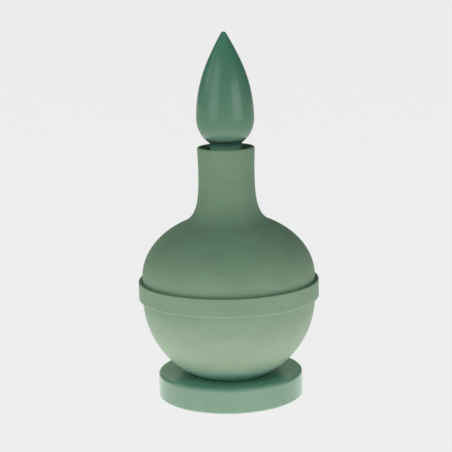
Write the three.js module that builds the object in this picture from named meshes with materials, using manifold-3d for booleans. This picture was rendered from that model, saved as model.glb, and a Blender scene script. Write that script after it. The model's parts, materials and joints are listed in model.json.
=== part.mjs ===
// Perfume atomiser: a round two-part flask on a disc foot, with a finger pump inside
// and a drop-shaped cap over the button.
// Lengths are in millimetres, +Z is up, and the origin is the centre of the foot's underside.
// The front is -Y, the way the nozzle points. Every piece is made at its own height, on the axis.

import * as THREE from 'three';
import { mergeVertices } from 'three/addons/utils/BufferGeometryUtils.js';
import Module from 'manifold-3d';

const wasm = await Module();
wasm.setup();

// ---------------------------------------------------------------------------
// Driving dimensions
// ---------------------------------------------------------------------------

const SEAT_GAP = 0.3;           // between two pieces that rest on, or sit in, each other
const CLOSE_GAP = 0.1;          // round the piston, the stem, the seal and the nozzle
const BEVEL = 0.3;              // bevel of the pump's turned edges

// Foot
const FOOT_RADIUS = 25.4;
const FOOT_HEIGHT = 8.8;         // at its rim
const FOOT_DISH = 0.6;          // how far the top falls from the rim to the recess
const FOOT_EDGE = 1.1;          // rounding of the top edge
const FOOT_CHAMFER = 0.3;       // bevel of the bottom edge
const FOOT_SEAT_DEPTH = 1.0;    // recess that the bowl stands in
const FOOT_WALL = 2.5;          // thickness of the plate under that recess
const FOOT_RIM_WALL = 3.3;      // width of the rim that stands on the table
const LEDGE_WIDTH = 1.8;        // ledge that carries the felt
const FELT_THICKNESS = 1.2;

// Screw that joins the bowl to the foot
const SCREW_RADIUS = 1.2;
const SCREW_HEAD_RADIUS = 3.0;
const SCREW_HEAD_HEIGHT = 1.6;
const SCREW_HEAD_BEVEL = 0.6;
const SCREW_SLOT_WIDTH = 0.7;
const SCREW_SLOT_DEPTH = 0.8;
const SCREW_BITE = 4.6;         // length of screw inside the bowl's boss
const WASHER_RADIUS = 4.2;
const WASHER_THICKNESS = 0.5;
const BOSS_WALL = 3.0;
const BOSS_ROOF = 1.2;

// Bowl and its raised band
const BOWL_RADIUS = 30.1;
const BOWL_FLAT_RADIUS = 12.0;  // flat patch that rests in the foot's recess
const BOWL_WALL = 2.2;
const BOWL_FLOOR = 2.4;
const BAND_HEIGHT = 6.5;
const BAND_LIP = 1.0;           // wall of the band outside the joint
const BAND_EDGE = 0.5;          // rounding of the band's lower edge
const LEDGE_HEIGHT = 1.5;       // height of the ledge under the upper shell
const SHELL_STEP = 0.1;         // how much wider the upper shell is than the bowl

// Upper shell
const SHELL_WALL = 2.0;
const SHELL_HEIGHT = 46.5;      // from the top of the band to the rim of the neck
const DOME_HEIGHT = 22.5;       // half height of the dome's ellipse
const DOME_LIFT = 1.0;          // straight stretch between the band and the dome
const NECK_WALL = 1.41;
const NECK_FLARE = 5.6;         // how far out of the neck its sweep into the dome starts
const NECK_SWEEP = 13.3;        // height of that sweep
const DOME_EASE = 0.586;        // how long the sweep keeps to the dome's slope, as a share of the flare
const NECK_EASE = 0.64;         // how long it keeps to the neck, as a share of its height
const RIM_FLARE = 0.29;         // how much the neck opens at its rim

// Pump
const STROKE = 3.5;
const CHAMBER_RADIUS = 3.0;
const HOUSING_WALL = 0.8;
const FLANGE_WIDTH = 2.4;       // how far the pump's flange stands out of its housing
const FLANGE_THICKNESS = 1.2;
const GASKET_THICKNESS = 1.0;
const TURRET_RADIUS = 4.3;
const TURRET_WALL = 1.7;
const TURRET_HEIGHT = 6.4;      // above the closure
const TURRET_ROOF = 1.5;
const TURRET_FLANGE = 1.0;
const STEM_RADIUS = 1.2;
const STEM_BORE = 0.6;
const STEM_TAIL = 2.0;          // length of stem below the piston
const SEAL_THICKNESS = 1.4;
const PISTON_HEIGHT = 4.0;
const PISTON_LIP = 1.0;         // height of each of the piston's two lips
const PISTON_WAIST = 0.4;       // depth of the groove between them, and of its sloped sides
const SPRING_LENGTH = 10.0;
const SPRING_RADIUS = 2.3;      // to the middle of the wire
const WIRE_RADIUS = 0.3;
const SPRING_TURNS = 5.5;
const SPRING_CLOSING = 0.35;    // how much the end turns are drawn together, from 0 to 1
const SPRING_STEPS = 11;        // sections along each turn
const BALL_RADIUS = 1.3;
const BALL_CHAMBER_RADIUS = 1.9;
const BALL_CHAMBER_HEIGHT = 3.8;
const BALL_SEAT_RADIUS = 0.8;
const BALL_SEAT_CONE = 0.4;     // height of the cone above the seat
const VALVE_PLATE = 1.4;        // floor of the ball's chamber
const DIP_TUBE_RADIUS = 1.5;
const DIP_TUBE_BORE = 0.9;
const DIP_TUBE_CLEARANCE = 1.8; // between the tube's end and the glass floor
const DIP_SOCKET_LENGTH = 6.4;

// Button and nozzle
const BUTTON_RADIUS = 4.2;
const BUTTON_SKIRT = 6.5;       // from the button's lower edge to the nozzle's axis
const BUTTON_CROWN = 4.5;       // from the nozzle's axis to the top
const BUTTON_WALL = 1.0;
const BUTTON_HOLLOW = 2.6;      // depth of the hollow round the stem's socket
const STEM_SOCKET_WALL = 0.7;
const BUTTON_FILLET = 0.8;
const BUTTON_DISH = 0.4;
const NOZZLE_RADIUS = 1.3;
const NOZZLE_LENGTH = 1.6;
const ORIFICE_RADIUS = 0.3;
const CHANNEL_RADIUS = 0.5;
const NOZZLE_OVER_RIM = 1.1;    // nozzle's axis above the rim when the button is down

// Glass reservoir, its closure and its cradle
const RESERVOIR_RADIUS = 19.0;
const GLASS_WALL = 1.8;
const GLASS_HEEL = 5.0;         // rounding between floor and side
const GLASS_SHOULDER = 10.5;    // rounding between side and neck
const GLASS_FILLET = 1.6;       // rounding where the shoulder meets the neck
const GLASS_NECK_WALL = 2.0;
const HOUSING_CLEARANCE = 0.4;
const SHOULDER_DROP = 8.4;      // foot of the glass neck below the top of the dome's ellipse
const NECK_BARE = 5.5;          // glass neck left bare under the closure
const CLOSURE_WALL = 1.2;
const CLOSURE_CLEARANCE = 0.6;  // between the closure and the shell's neck
const CRADLE_WALL = 1.5;
const CRADLE_BORE = 9.0;
const CRADLE_TOP_ANGLE = 32;    // degrees below the horizontal where the cradle's lip ends

// Cap
const CAP_GAP = 1.8;            // between the neck's rim and the drop
const CAP_RADIUS = 9.98;
const CAP_BELLY = 8.6;          // height of the widest place above the underside
const CAP_LOWER_REACH = 10.2;   // half height of the lower part's rounded outline
const CAP_LOWER_POWER = 2.2;    // fullness of that outline
const CAP_OGIVE_RADIUS = 43.5;  // arc above the widest place
const CAP_OGIVE_RISE = 17.1;    // height of that arc
const CAP_UPPER_RADIUS = 150;   // flatter arc above it
const CAP_UPPER_RISE = 8.7;     // height of the flatter arc, below the straight tip
const CAP_TIP_RADIUS = 1.3;
const LINER_WALL = 0.8;
const LINER_ROOF = 1.0;
const LINER_HEADROOM = 1.0;     // between the button and the sleeve's roof

// Facets round the axis
const WIDE = 40;
const MIDDLE = 32;
const NARROW = 24;
const FINE = 16;

// ---------------------------------------------------------------------------
// Levels and radii that follow from them
// ---------------------------------------------------------------------------

// Foot and screw, from the table up
const feltRadius = FOOT_RADIUS - FOOT_RIM_WALL - SEAT_GAP;
const feltTop = SEAT_GAP + FELT_THICKNESS;
const feltLedge = feltTop + SEAT_GAP;
const headBottom = feltTop + SEAT_GAP;
const headTop = headBottom + SCREW_HEAD_HEIGHT;
const washerBottom = headTop + SEAT_GAP;
const counterboreRoof = washerBottom + WASHER_THICKNESS + SEAT_GAP;
const footDish = FOOT_HEIGHT - FOOT_DISH;
const footSeat = footDish - FOOT_SEAT_DEPTH;

// Bowl and band
const bowlFlat = footSeat + SEAT_GAP;
const bowlCentre = bowlFlat + Math.sqrt(BOWL_RADIUS ** 2 - BOWL_FLAT_RADIUS ** 2);
const footSeatRadius = Math.sqrt((BOWL_RADIUS + SEAT_GAP) ** 2 - (bowlCentre - footDish) ** 2);
const bowlInside = BOWL_RADIUS - BOWL_WALL;
const bowlFloor = bowlFlat + BOWL_FLOOR;
const screwTop = bowlFlat + SCREW_BITE;
const bossTop = screwTop + SEAT_GAP + BOSS_ROOF;
const domeRadius = BOWL_RADIUS + SHELL_STEP;
const socketRadius = domeRadius + SEAT_GAP;
const bandRadius = socketRadius + BAND_LIP;
const bandTop = bowlCentre + BAND_HEIGHT;
const ledgeTop = bowlCentre + LEDGE_HEIGHT;

// Glass neck, closure and shell neck, from the pump's chamber out
const housingRadius = CHAMBER_RADIUS + HOUSING_WALL;
const glassBore = housingRadius + HOUSING_CLEARANCE;
const glassNeckRadius = glassBore + GLASS_NECK_WALL;
const closureBore = glassNeckRadius + SEAT_GAP;
const closureRadius = closureBore + CLOSURE_WALL;
const neckBore = closureRadius + CLOSURE_CLEARANCE;
const neckRadius = neckBore + NECK_WALL;

// Shell, and the pump hung from its rim downwards
const domeCentre = bandTop + DOME_LIFT;
const rimTop = bandTop + SHELL_HEIGHT;
const nozzleLevel = rimTop + STROKE + NOZZLE_OVER_RIM;
const buttonBottom = nozzleLevel - BUTTON_SKIRT;
const buttonTop = nozzleLevel + BUTTON_CROWN;
const turretTop = buttonBottom - STROKE - SEAT_GAP;
const closureTop = turretTop - TURRET_HEIGHT;
const closureRoof = closureTop - CLOSURE_WALL;
const turretBottom = closureRoof - SEAT_GAP - TURRET_FLANGE;
const housingTop = turretBottom - SEAT_GAP;
const gasketTop = housingTop - FLANGE_THICKNESS - SEAT_GAP;
const glassLip = gasketTop - GASKET_THICKNESS - SEAT_GAP;
const pistonTop = housingTop - 2 * SEAT_GAP;
const pistonBottom = pistonTop - PISTON_HEIGHT;
const springTop = pistonBottom - SEAT_GAP;
const springBottom = springTop - SPRING_LENGTH;
const springLedge = springBottom - SEAT_GAP;
const valveFloor = springLedge - BALL_CHAMBER_HEIGHT;
const socketTop = valveFloor - VALVE_PLATE;
const housingBottom = socketTop - DIP_SOCKET_LENGTH;
const stemBottom = pistonBottom - STEM_TAIL;
const stemTop = nozzleLevel - CHANNEL_RADIUS;

// Glass reservoir: its floor is as low as the bowl or the boss lets it go
const glassNeckFoot = domeCentre + DOME_HEIGHT - SHOULDER_DROP;
const heelReach = bowlInside - CRADLE_WALL - 2 * SEAT_GAP - GLASS_HEEL;
const heelCentreRadius = RESERVOIR_RADIUS - GLASS_HEEL;
const heelDrop = Math.sqrt(heelReach ** 2 - heelCentreRadius ** 2);
const glassFloor = Math.max(bowlCentre - heelDrop - GLASS_HEEL, bossTop + SEAT_GAP);
const closureBottom = glassNeckFoot + NECK_BARE;

// Cap
const linerBore = Math.max(TURRET_RADIUS, BUTTON_RADIUS) + SEAT_GAP;
const linerRadius = linerBore + LINER_WALL;
const linerBottom = closureTop + SEAT_GAP;
const linerTop = buttonTop + LINER_HEADROOM + LINER_ROOF;
const capBottom = rimTop + CAP_GAP;

// ---------------------------------------------------------------------------
// Making shapes
// ---------------------------------------------------------------------------

// Points [radius, height] on an elliptical arc; angles in degrees from the outward radius.
function arc(radius, height, reach, rise, from, to, steps) {
  return Array.from({ length: steps + 1 }, (_, i) => {
    const angle = THREE.MathUtils.degToRad(from + ((to - from) * i) / steps);
    return [radius + reach * Math.cos(angle), height + rise * Math.sin(angle)];
  });
}

// A solid of revolution. The profile runs upwards on its outside, and either closes on
// itself or starts and ends on the axis.
function turned(profile, facets) {
  const points = profile.map(([radius, height]) => new THREE.Vector2(radius, height));
  return new THREE.LatheGeometry(points, facets).rotateX(Math.PI / 2);
}

// A turned ring or tube: the profile's last point is joined back to its first.
function turnedRing(profile, facets) {
  return turned([...profile, profile[0]], facets);
}

// A plain tube between two heights.
function tube(bore, radius, bottom, top, facets) {
  return turnedRing([[bore, bottom], [radius, bottom], [radius, top], [bore, top]], facets);
}

function toSolid(geometry) {
  const bare = geometry.clone();
  bare.deleteAttribute('normal');
  bare.deleteAttribute('uv');
  const merged = mergeVertices(bare, 1e-5);
  return new wasm.Manifold(new wasm.Mesh({
    numProp: 3,
    vertProperties: new Float32Array(merged.attributes.position.array),
    triVerts: new Uint32Array(merged.index.array),
  }));
}

function toGeometry(solid) {
  const { vertProperties, triVerts } = solid.getMesh();
  const geometry = new THREE.BufferGeometry();
  geometry.setAttribute('position', new THREE.BufferAttribute(vertProperties, 3));
  geometry.setIndex(new THREE.BufferAttribute(triVerts, 1));
  geometry.computeVertexNormals();
  return geometry;
}

function cut(geometry, ...tools) {
  return toGeometry(tools.reduce((solid, tool) => solid.subtract(toSolid(tool)), toSolid(geometry)));
}

// ---------------------------------------------------------------------------
// Finishes
// ---------------------------------------------------------------------------

const finishes = {
  matteGreen: { color: 0x7f9f88, roughness: 0.6, metalness: 0 },
  glossGreen: { color: 0x5b8a78, roughness: 0.15, metalness: 0 },
  felt: { color: 0x3f5148, roughness: 1, metalness: 0 },
  steel: { color: 0xb9bcc0, roughness: 0.3, metalness: 1 },
  aluminium: { color: 0xd0d2d4, roughness: 0.35, metalness: 1 },
  whitePlastic: { color: 0xe9eae6, roughness: 0.4, metalness: 0 },
  clearPlastic: { color: 0xdfe6e4, roughness: 0.25, metalness: 0 },
  rubber: { color: 0x3a3c3d, roughness: 0.9, metalness: 0 },
  glass: { color: 0xdbe9e4, roughness: 0.05, metalness: 0 },
};

const atomiser = new THREE.Group();

function addPiece(name, geometry, finish) {
  const piece = new THREE.Mesh(geometry, new THREE.MeshStandardMaterial(finishes[finish]));
  piece.name = name;
  atomiser.add(piece);
}

// ---------------------------------------------------------------------------
// Foot, felt and screw
// ---------------------------------------------------------------------------

const screwHole = SCREW_RADIUS + SEAT_GAP;
const counterbore = WASHER_RADIUS + SEAT_GAP;
const recess = feltRadius + SEAT_GAP;

addPiece('base_foot', turnedRing([
  [recess, 0],
  [FOOT_RADIUS - FOOT_CHAMFER, 0],
  [FOOT_RADIUS, FOOT_CHAMFER],
  ...arc(FOOT_RADIUS - FOOT_EDGE, FOOT_HEIGHT - FOOT_EDGE, FOOT_EDGE, FOOT_EDGE, 0, 90, 4),
  [footSeatRadius, footDish],
  [footSeatRadius, footSeat],
  [screwHole, footSeat],
  [screwHole, counterboreRoof],
  [counterbore, counterboreRoof],
  [counterbore, feltLedge],
  [counterbore + LEDGE_WIDTH, feltLedge],
  [counterbore + LEDGE_WIDTH, footSeat - FOOT_WALL],
  [recess - LEDGE_WIDTH, footSeat - FOOT_WALL],
  [recess - LEDGE_WIDTH, feltLedge],
  [recess, feltLedge],
], WIDE), 'glossGreen');

addPiece('base_felt', turned([
  [0, SEAT_GAP], [feltRadius, SEAT_GAP], [feltRadius, feltTop], [0, feltTop],
], WIDE), 'felt');

const screwBlank = turned([
  [0, headBottom],
  [SCREW_HEAD_RADIUS - SCREW_HEAD_BEVEL, headBottom],
  [SCREW_HEAD_RADIUS, headBottom + SCREW_HEAD_BEVEL],
  [SCREW_HEAD_RADIUS, headTop],
  [SCREW_RADIUS, headTop],
  [SCREW_RADIUS, screwTop - SCREW_RADIUS],
  [0, screwTop],
], FINE);
const slot = new THREE.BoxGeometry(3 * SCREW_HEAD_RADIUS, SCREW_SLOT_WIDTH, 2 * SCREW_SLOT_DEPTH)
  .translate(0, 0, headBottom);
addPiece('base_screw', cut(screwBlank, slot), 'steel');

addPiece('screw_washer',
  tube(screwHole, WASHER_RADIUS, washerBottom, washerBottom + WASHER_THICKNESS, NARROW), 'steel');

// ---------------------------------------------------------------------------
// Bowl with its band, and the upper shell
// ---------------------------------------------------------------------------

// Angle below the horizontal at which a sphere has the given radius.
function angleAt(radius, sphereRadius) {
  return THREE.MathUtils.radToDeg(Math.acos(radius / sphereRadius));
}

const floorRadius = Math.sqrt(bowlInside ** 2 - (bowlCentre - bowlFloor) ** 2);

addPiece('lower_bowl', turned([
  [0, screwTop + SEAT_GAP],
  [screwHole, screwTop + SEAT_GAP],
  [screwHole, bowlFlat],
  ...arc(0, bowlCentre, BOWL_RADIUS, BOWL_RADIUS, -angleAt(BOWL_FLAT_RADIUS, BOWL_RADIUS), 0, 11),
  ...arc(bandRadius - BAND_EDGE, bowlCentre + BAND_EDGE, BAND_EDGE, BAND_EDGE, -90, 0, 2),
  [bandRadius, bandTop - BAND_EDGE / 2],
  [bandRadius - BAND_EDGE / 2, bandTop],
  [socketRadius, bandTop],
  [socketRadius, ledgeTop],
  [bowlInside, ledgeTop],
  ...arc(0, bowlCentre, bowlInside, bowlInside, 0, -angleAt(floorRadius, bowlInside), 9),
  [screwHole + BOSS_WALL, bowlFloor],
  [screwHole + BOSS_WALL, bossTop],
  [0, bossTop],
], WIDE), 'matteGreen');

// The dome and its sweep into the neck, from the level of the dome's centre upwards.
function domeToNeck(radius, height, neck, domeSteps, sweepSteps) {
  const start = neck + NECK_FLARE;
  const angle = Math.acos(start / radius);
  const startHeight = domeCentre + height * Math.sin(angle);
  const slope = (height * Math.cos(angle)) / (radius * Math.sin(angle));
  const control = NECK_FLARE * DOME_EASE;
  const sweep = new THREE.CubicBezierCurve(
    new THREE.Vector2(start, startHeight),
    new THREE.Vector2(start - control, startHeight + control * slope),
    new THREE.Vector2(neck, startHeight + NECK_SWEEP * (1 - NECK_EASE)),
    new THREE.Vector2(neck, startHeight + NECK_SWEEP),
  );
  return [
    ...arc(0, domeCentre, radius, height, 0, THREE.MathUtils.radToDeg(angle), domeSteps),
    ...sweep.getPoints(sweepSteps).slice(1).map((point) => [point.x, point.y]),
  ];
}

const rimRound = (NECK_WALL + RIM_FLARE) / 2;

addPiece('upper_shell', turnedRing([
  [domeRadius, ledgeTop + SEAT_GAP],
  ...domeToNeck(domeRadius, DOME_HEIGHT, neckRadius, 9, 6),
  ...arc(neckRadius + RIM_FLARE - rimRound, rimTop - rimRound, rimRound, rimRound, 0, 180, 4),
  ...domeToNeck(domeRadius - SHELL_WALL, DOME_HEIGHT - SHELL_WALL, neckBore, 7, 5).reverse(),
  [domeRadius - SHELL_WALL, ledgeTop + SEAT_GAP],
], WIDE), 'matteGreen');

// ---------------------------------------------------------------------------
// Cradle and glass reservoir
// ---------------------------------------------------------------------------

const cradleOutside = bowlInside - SEAT_GAP;
const cradleFloor = bowlFloor + SEAT_GAP;
const cradleFloorRadius = Math.sqrt(cradleOutside ** 2 - (bowlCentre - cradleFloor) ** 2);
const heelCentre = glassFloor + GLASS_HEEL;
const cradleHeel = GLASS_HEEL + SEAT_GAP;
const cradleLip = arc(heelCentreRadius, heelCentre, cradleHeel, cradleHeel, -CRADLE_TOP_ANGLE, -90, 4);
const cradleLipHeight = cradleLip[0][1];
const cradleTopAngle = THREE.MathUtils.radToDeg(Math.asin((bowlCentre - cradleLipHeight) / cradleOutside));

addPiece('vial_cradle', turnedRing([
  [CRADLE_BORE, cradleFloor],
  ...arc(0, bowlCentre, cradleOutside, cradleOutside,
    -angleAt(cradleFloorRadius, cradleOutside), -cradleTopAngle, 5),
  ...cradleLip,
  [CRADLE_BORE, glassFloor - SEAT_GAP],
], MIDDLE), 'rubber');

// The bottle's outline from its floor to the lip; inset makes the inner wall of the same shape.
function bottle(inset) {
  const side = RESERVOIR_RADIUS - inset;
  const heel = GLASS_HEEL - inset;
  const shoulder = GLASS_SHOULDER - inset;
  const shoulderCentre = glassNeckFoot - GLASS_SHOULDER;
  const neck = inset > 0 ? glassBore : glassNeckRadius;
  const turn = RESERVOIR_RADIUS - GLASS_SHOULDER;
  const lastAngle = inset > 0 ? 90 : THREE.MathUtils.radToDeg(Math.acos(Math.max(0,
    (glassNeckRadius + GLASS_FILLET - turn) / shoulder)));
  return [
    ...arc(side - heel, glassFloor + inset + heel, heel, heel, -90, 0, 4),
    ...arc(turn, shoulderCentre, shoulder, shoulder, 0, lastAngle, 6),
    [neck, glassNeckFoot + (inset > 0 ? -inset : GLASS_FILLET)],
  ];
}

addPiece('reservoir', turned([
  [0, glassFloor],
  ...bottle(0),
  [glassNeckRadius, glassLip],
  [glassBore, glassLip],
  ...bottle(GLASS_WALL).reverse(),
  [0, glassFloor + GLASS_WALL],
], MIDDLE), 'glass');

// ---------------------------------------------------------------------------
// Pump
// ---------------------------------------------------------------------------

const flangeRadius = housingRadius + FLANGE_WIDTH;
const socketBore = DIP_TUBE_RADIUS + SEAT_GAP;
const socketOutside = socketBore + HOUSING_WALL;

addPiece('neck_gasket', tube(glassBore + SEAT_GAP, flangeRadius, gasketTop - GASKET_THICKNESS,
  gasketTop, NARROW), 'rubber');

addPiece('pump_housing', turnedRing([
  [socketBore, housingBottom],
  [socketOutside, housingBottom],
  [socketOutside, valveFloor],
  [housingRadius, springLedge],
  [housingRadius, housingTop - FLANGE_THICKNESS],
  [flangeRadius, housingTop - FLANGE_THICKNESS],
  [flangeRadius, housingTop],
  [CHAMBER_RADIUS, housingTop],
  [CHAMBER_RADIUS, springLedge],
  [BALL_CHAMBER_RADIUS, springLedge],
  [BALL_CHAMBER_RADIUS, valveFloor + BALL_SEAT_CONE],
  [BALL_SEAT_RADIUS, valveFloor],
  [BALL_SEAT_RADIUS, socketTop],
  [socketBore, socketTop],
], NARROW), 'whitePlastic');

addPiece('pump_closure', turnedRing([
  [closureBore, closureBottom],
  [closureRadius, closureBottom],
  [closureRadius, closureTop - BEVEL],
  [closureRadius - BEVEL, closureTop],
  [TURRET_RADIUS + SEAT_GAP, closureTop],
  [TURRET_RADIUS + SEAT_GAP, closureRoof],
  [closureBore, closureRoof],
], MIDDLE), 'aluminium');

addPiece('pump_turret', turnedRing([
  [TURRET_RADIUS - TURRET_WALL, turretBottom],
  [flangeRadius, turretBottom],
  [flangeRadius, turretBottom + TURRET_FLANGE],
  [TURRET_RADIUS, turretBottom + TURRET_FLANGE],
  [TURRET_RADIUS, turretTop - BEVEL],
  [TURRET_RADIUS - BEVEL, turretTop],
  [STEM_RADIUS + SEAT_GAP, turretTop],
  [STEM_RADIUS + SEAT_GAP, turretTop - TURRET_ROOF],
  [TURRET_RADIUS - TURRET_WALL, turretTop - TURRET_ROOF],
], NARROW), 'whitePlastic');

const sealTop = turretTop - TURRET_ROOF - SEAT_GAP;
addPiece('stem_seal', tube(STEM_RADIUS + CLOSE_GAP, TURRET_RADIUS - TURRET_WALL - CLOSE_GAP,
  sealTop - SEAL_THICKNESS, sealTop, FINE), 'rubber');

addPiece('pump_stem', tube(STEM_BORE, STEM_RADIUS, stemBottom, stemTop, FINE), 'whitePlastic');

const pistonRadius = CHAMBER_RADIUS - CLOSE_GAP;
const pistonWaist = pistonRadius - PISTON_WAIST;
addPiece('piston', turnedRing([
  [STEM_RADIUS + CLOSE_GAP, pistonBottom],
  [pistonRadius, pistonBottom],
  [pistonRadius, pistonBottom + PISTON_LIP],
  [pistonWaist, pistonBottom + PISTON_LIP + PISTON_WAIST],
  [pistonWaist, pistonTop - PISTON_LIP - PISTON_WAIST],
  [pistonRadius, pistonTop - PISTON_LIP],
  [pistonRadius, pistonTop],
  [STEM_RADIUS + CLOSE_GAP, pistonTop],
], NARROW), 'whitePlastic');

// The spring's wire follows a helix whose first and last turns lie nearly flat.
class SpringPath extends THREE.Curve {
  getPoint(share, target = new THREE.Vector3()) {
    const angle = 2 * Math.PI * SPRING_TURNS * share;
    const rise = share - Math.sin(2 * Math.PI * share) / (2 * Math.PI);
    const travel = SPRING_LENGTH - 2 * WIRE_RADIUS;
    return target.set(SPRING_RADIUS * Math.cos(angle), SPRING_RADIUS * Math.sin(angle),
      springBottom + WIRE_RADIUS + travel * THREE.MathUtils.lerp(share, rise, SPRING_CLOSING));
  }
}

const wire = new THREE.Shape().absarc(0, 0, WIRE_RADIUS, 0, 2 * Math.PI, false);
addPiece('return_spring', new THREE.ExtrudeGeometry(wire, {
  steps: Math.round(SPRING_STEPS * SPRING_TURNS), curveSegments: 3, bevelEnabled: false,
  extrudePath: new SpringPath(),
}), 'steel');

const ballRise = Math.sqrt(BALL_RADIUS ** 2 - BALL_SEAT_RADIUS ** 2) + SEAT_GAP;
addPiece('inlet_ball', new THREE.SphereGeometry(BALL_RADIUS, FINE, 10)
  .rotateX(Math.PI / 2).translate(0, 0, valveFloor + ballRise), 'steel');

addPiece('dip_tube', tube(DIP_TUBE_BORE, DIP_TUBE_RADIUS, glassFloor + GLASS_WALL + DIP_TUBE_CLEARANCE,
  socketTop - SEAT_GAP, FINE), 'clearPlastic');

// ---------------------------------------------------------------------------
// Button and nozzle
// ---------------------------------------------------------------------------

const stemSocket = STEM_RADIUS + SEAT_GAP;
const hollowRoof = buttonBottom + BUTTON_HOLLOW;
const filletCentre = buttonTop - BUTTON_FILLET;
const buttonBlank = turned([
  [0, stemTop + SEAT_GAP],
  [stemSocket, stemTop + SEAT_GAP],
  [stemSocket, buttonBottom],
  [stemSocket + STEM_SOCKET_WALL, buttonBottom],
  [stemSocket + STEM_SOCKET_WALL, hollowRoof],
  [BUTTON_RADIUS - BUTTON_WALL, hollowRoof],
  [BUTTON_RADIUS - BUTTON_WALL, buttonBottom],
  [BUTTON_RADIUS, buttonBottom],
  ...arc(BUTTON_RADIUS - BUTTON_FILLET, filletCentre, BUTTON_FILLET, BUTTON_FILLET, 0, 90, 3),
  ...arc(0, buttonTop, BUTTON_RADIUS - 2 * BUTTON_FILLET, BUTTON_DISH, 0, -90, 4),
], NARROW);

// A round bar along the nozzle's axis, from one distance in front of the pump's axis to another.
function alongNozzle(radius, near, far) {
  return new THREE.CylinderGeometry(radius, radius, far - near, NARROW)
    .translate(0, -(near + far) / 2, 0)
    .translate(0, 0, nozzleLevel);
}

const nozzleFront = BUTTON_RADIUS - SEAT_GAP;
const nozzleBack = nozzleFront - NOZZLE_LENGTH;
const beyondButton = 2 * BUTTON_RADIUS;
addPiece('actuator_button', cut(buttonBlank,
  alongNozzle(NOZZLE_RADIUS + CLOSE_GAP, nozzleBack - CLOSE_GAP, beyondButton),
  alongNozzle(CHANNEL_RADIUS, 0, beyondButton)), 'whitePlastic');

const nozzleProfile = [
  [ORIFICE_RADIUS, 0], [NOZZLE_RADIUS, 0], [NOZZLE_RADIUS, NOZZLE_LENGTH],
  [2 * ORIFICE_RADIUS, NOZZLE_LENGTH], [ORIFICE_RADIUS, NOZZLE_LENGTH - ORIFICE_RADIUS],
];
addPiece('nozzle_insert', turnedRing(nozzleProfile, NARROW)
  .rotateX(Math.PI / 2).translate(0, -nozzleBack, nozzleLevel), 'steel');

// ---------------------------------------------------------------------------
// Cap: the drop and the sleeve inside it
// ---------------------------------------------------------------------------

addPiece('cap_liner', turned([
  [0, linerTop - LINER_ROOF],
  [linerBore, linerTop - LINER_ROOF],
  [linerBore, linerBottom],
  [linerRadius, linerBottom],
  [linerRadius, linerTop],
  [0, linerTop],
], MIDDLE), 'glossGreen');

// Lower part of the drop: a superellipse, from the underside out to the widest place.
function dropBelly(steps) {
  return Array.from({ length: steps + 1 }, (_, i) => {
    const depth = CAP_BELLY * Math.cos((Math.PI / 2) * (i / steps));
    const share = 1 - (depth / CAP_LOWER_REACH) ** CAP_LOWER_POWER;
    return [CAP_RADIUS * share ** (1 / CAP_LOWER_POWER), capBottom + CAP_BELLY - depth];
  });
}

// Upper part: an arc from the widest place, a flatter arc, then a straight cone with a rounded tip.
function dropPoint() {
  const belly = capBottom + CAP_BELLY;
  const lowerCentre = CAP_RADIUS - CAP_OGIVE_RADIUS;
  const lowerLean = Math.asin(CAP_OGIVE_RISE / CAP_OGIVE_RADIUS);
  const upperLean = Math.asin(Math.sin(lowerLean) + CAP_UPPER_RISE / CAP_UPPER_RADIUS);
  const joinRadius = lowerCentre + CAP_OGIVE_RADIUS * Math.cos(lowerLean);
  const upperCentre = joinRadius - CAP_UPPER_RADIUS * Math.cos(lowerLean);
  const upperLevel = belly + CAP_OGIVE_RISE - CAP_UPPER_RADIUS * Math.sin(lowerLean);
  const coneRadius = upperCentre + CAP_UPPER_RADIUS * Math.cos(upperLean);
  const apex = belly + CAP_OGIVE_RISE + CAP_UPPER_RISE + coneRadius / Math.tan(upperLean);
  const tipCentre = apex - CAP_TIP_RADIUS / Math.sin(upperLean);
  const [from, to] = [lowerLean, upperLean].map(THREE.MathUtils.radToDeg);
  return [
    ...arc(lowerCentre, belly, CAP_OGIVE_RADIUS, CAP_OGIVE_RADIUS, 0, from, 7).slice(1),
    ...arc(upperCentre, upperLevel, CAP_UPPER_RADIUS, CAP_UPPER_RADIUS, from, to, 2).slice(1),
    ...arc(0, tipCentre, CAP_TIP_RADIUS, CAP_TIP_RADIUS, to, 90, 4),
  ];
}

const cavity = linerRadius + SEAT_GAP;
addPiece('teardrop_cap', turned([
  [0, linerTop + SEAT_GAP],
  [cavity, linerTop + SEAT_GAP],
  [cavity, capBottom],
  ...dropBelly(7),
  ...dropPoint(),
], MIDDLE), 'glossGreen');

export default atomiser;
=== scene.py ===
import json
import math

import bpy
import numpy as np
from bpy.props import FloatProperty, FloatVectorProperty, IntProperty, PointerProperty
from mathutils import Matrix, Vector

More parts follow.
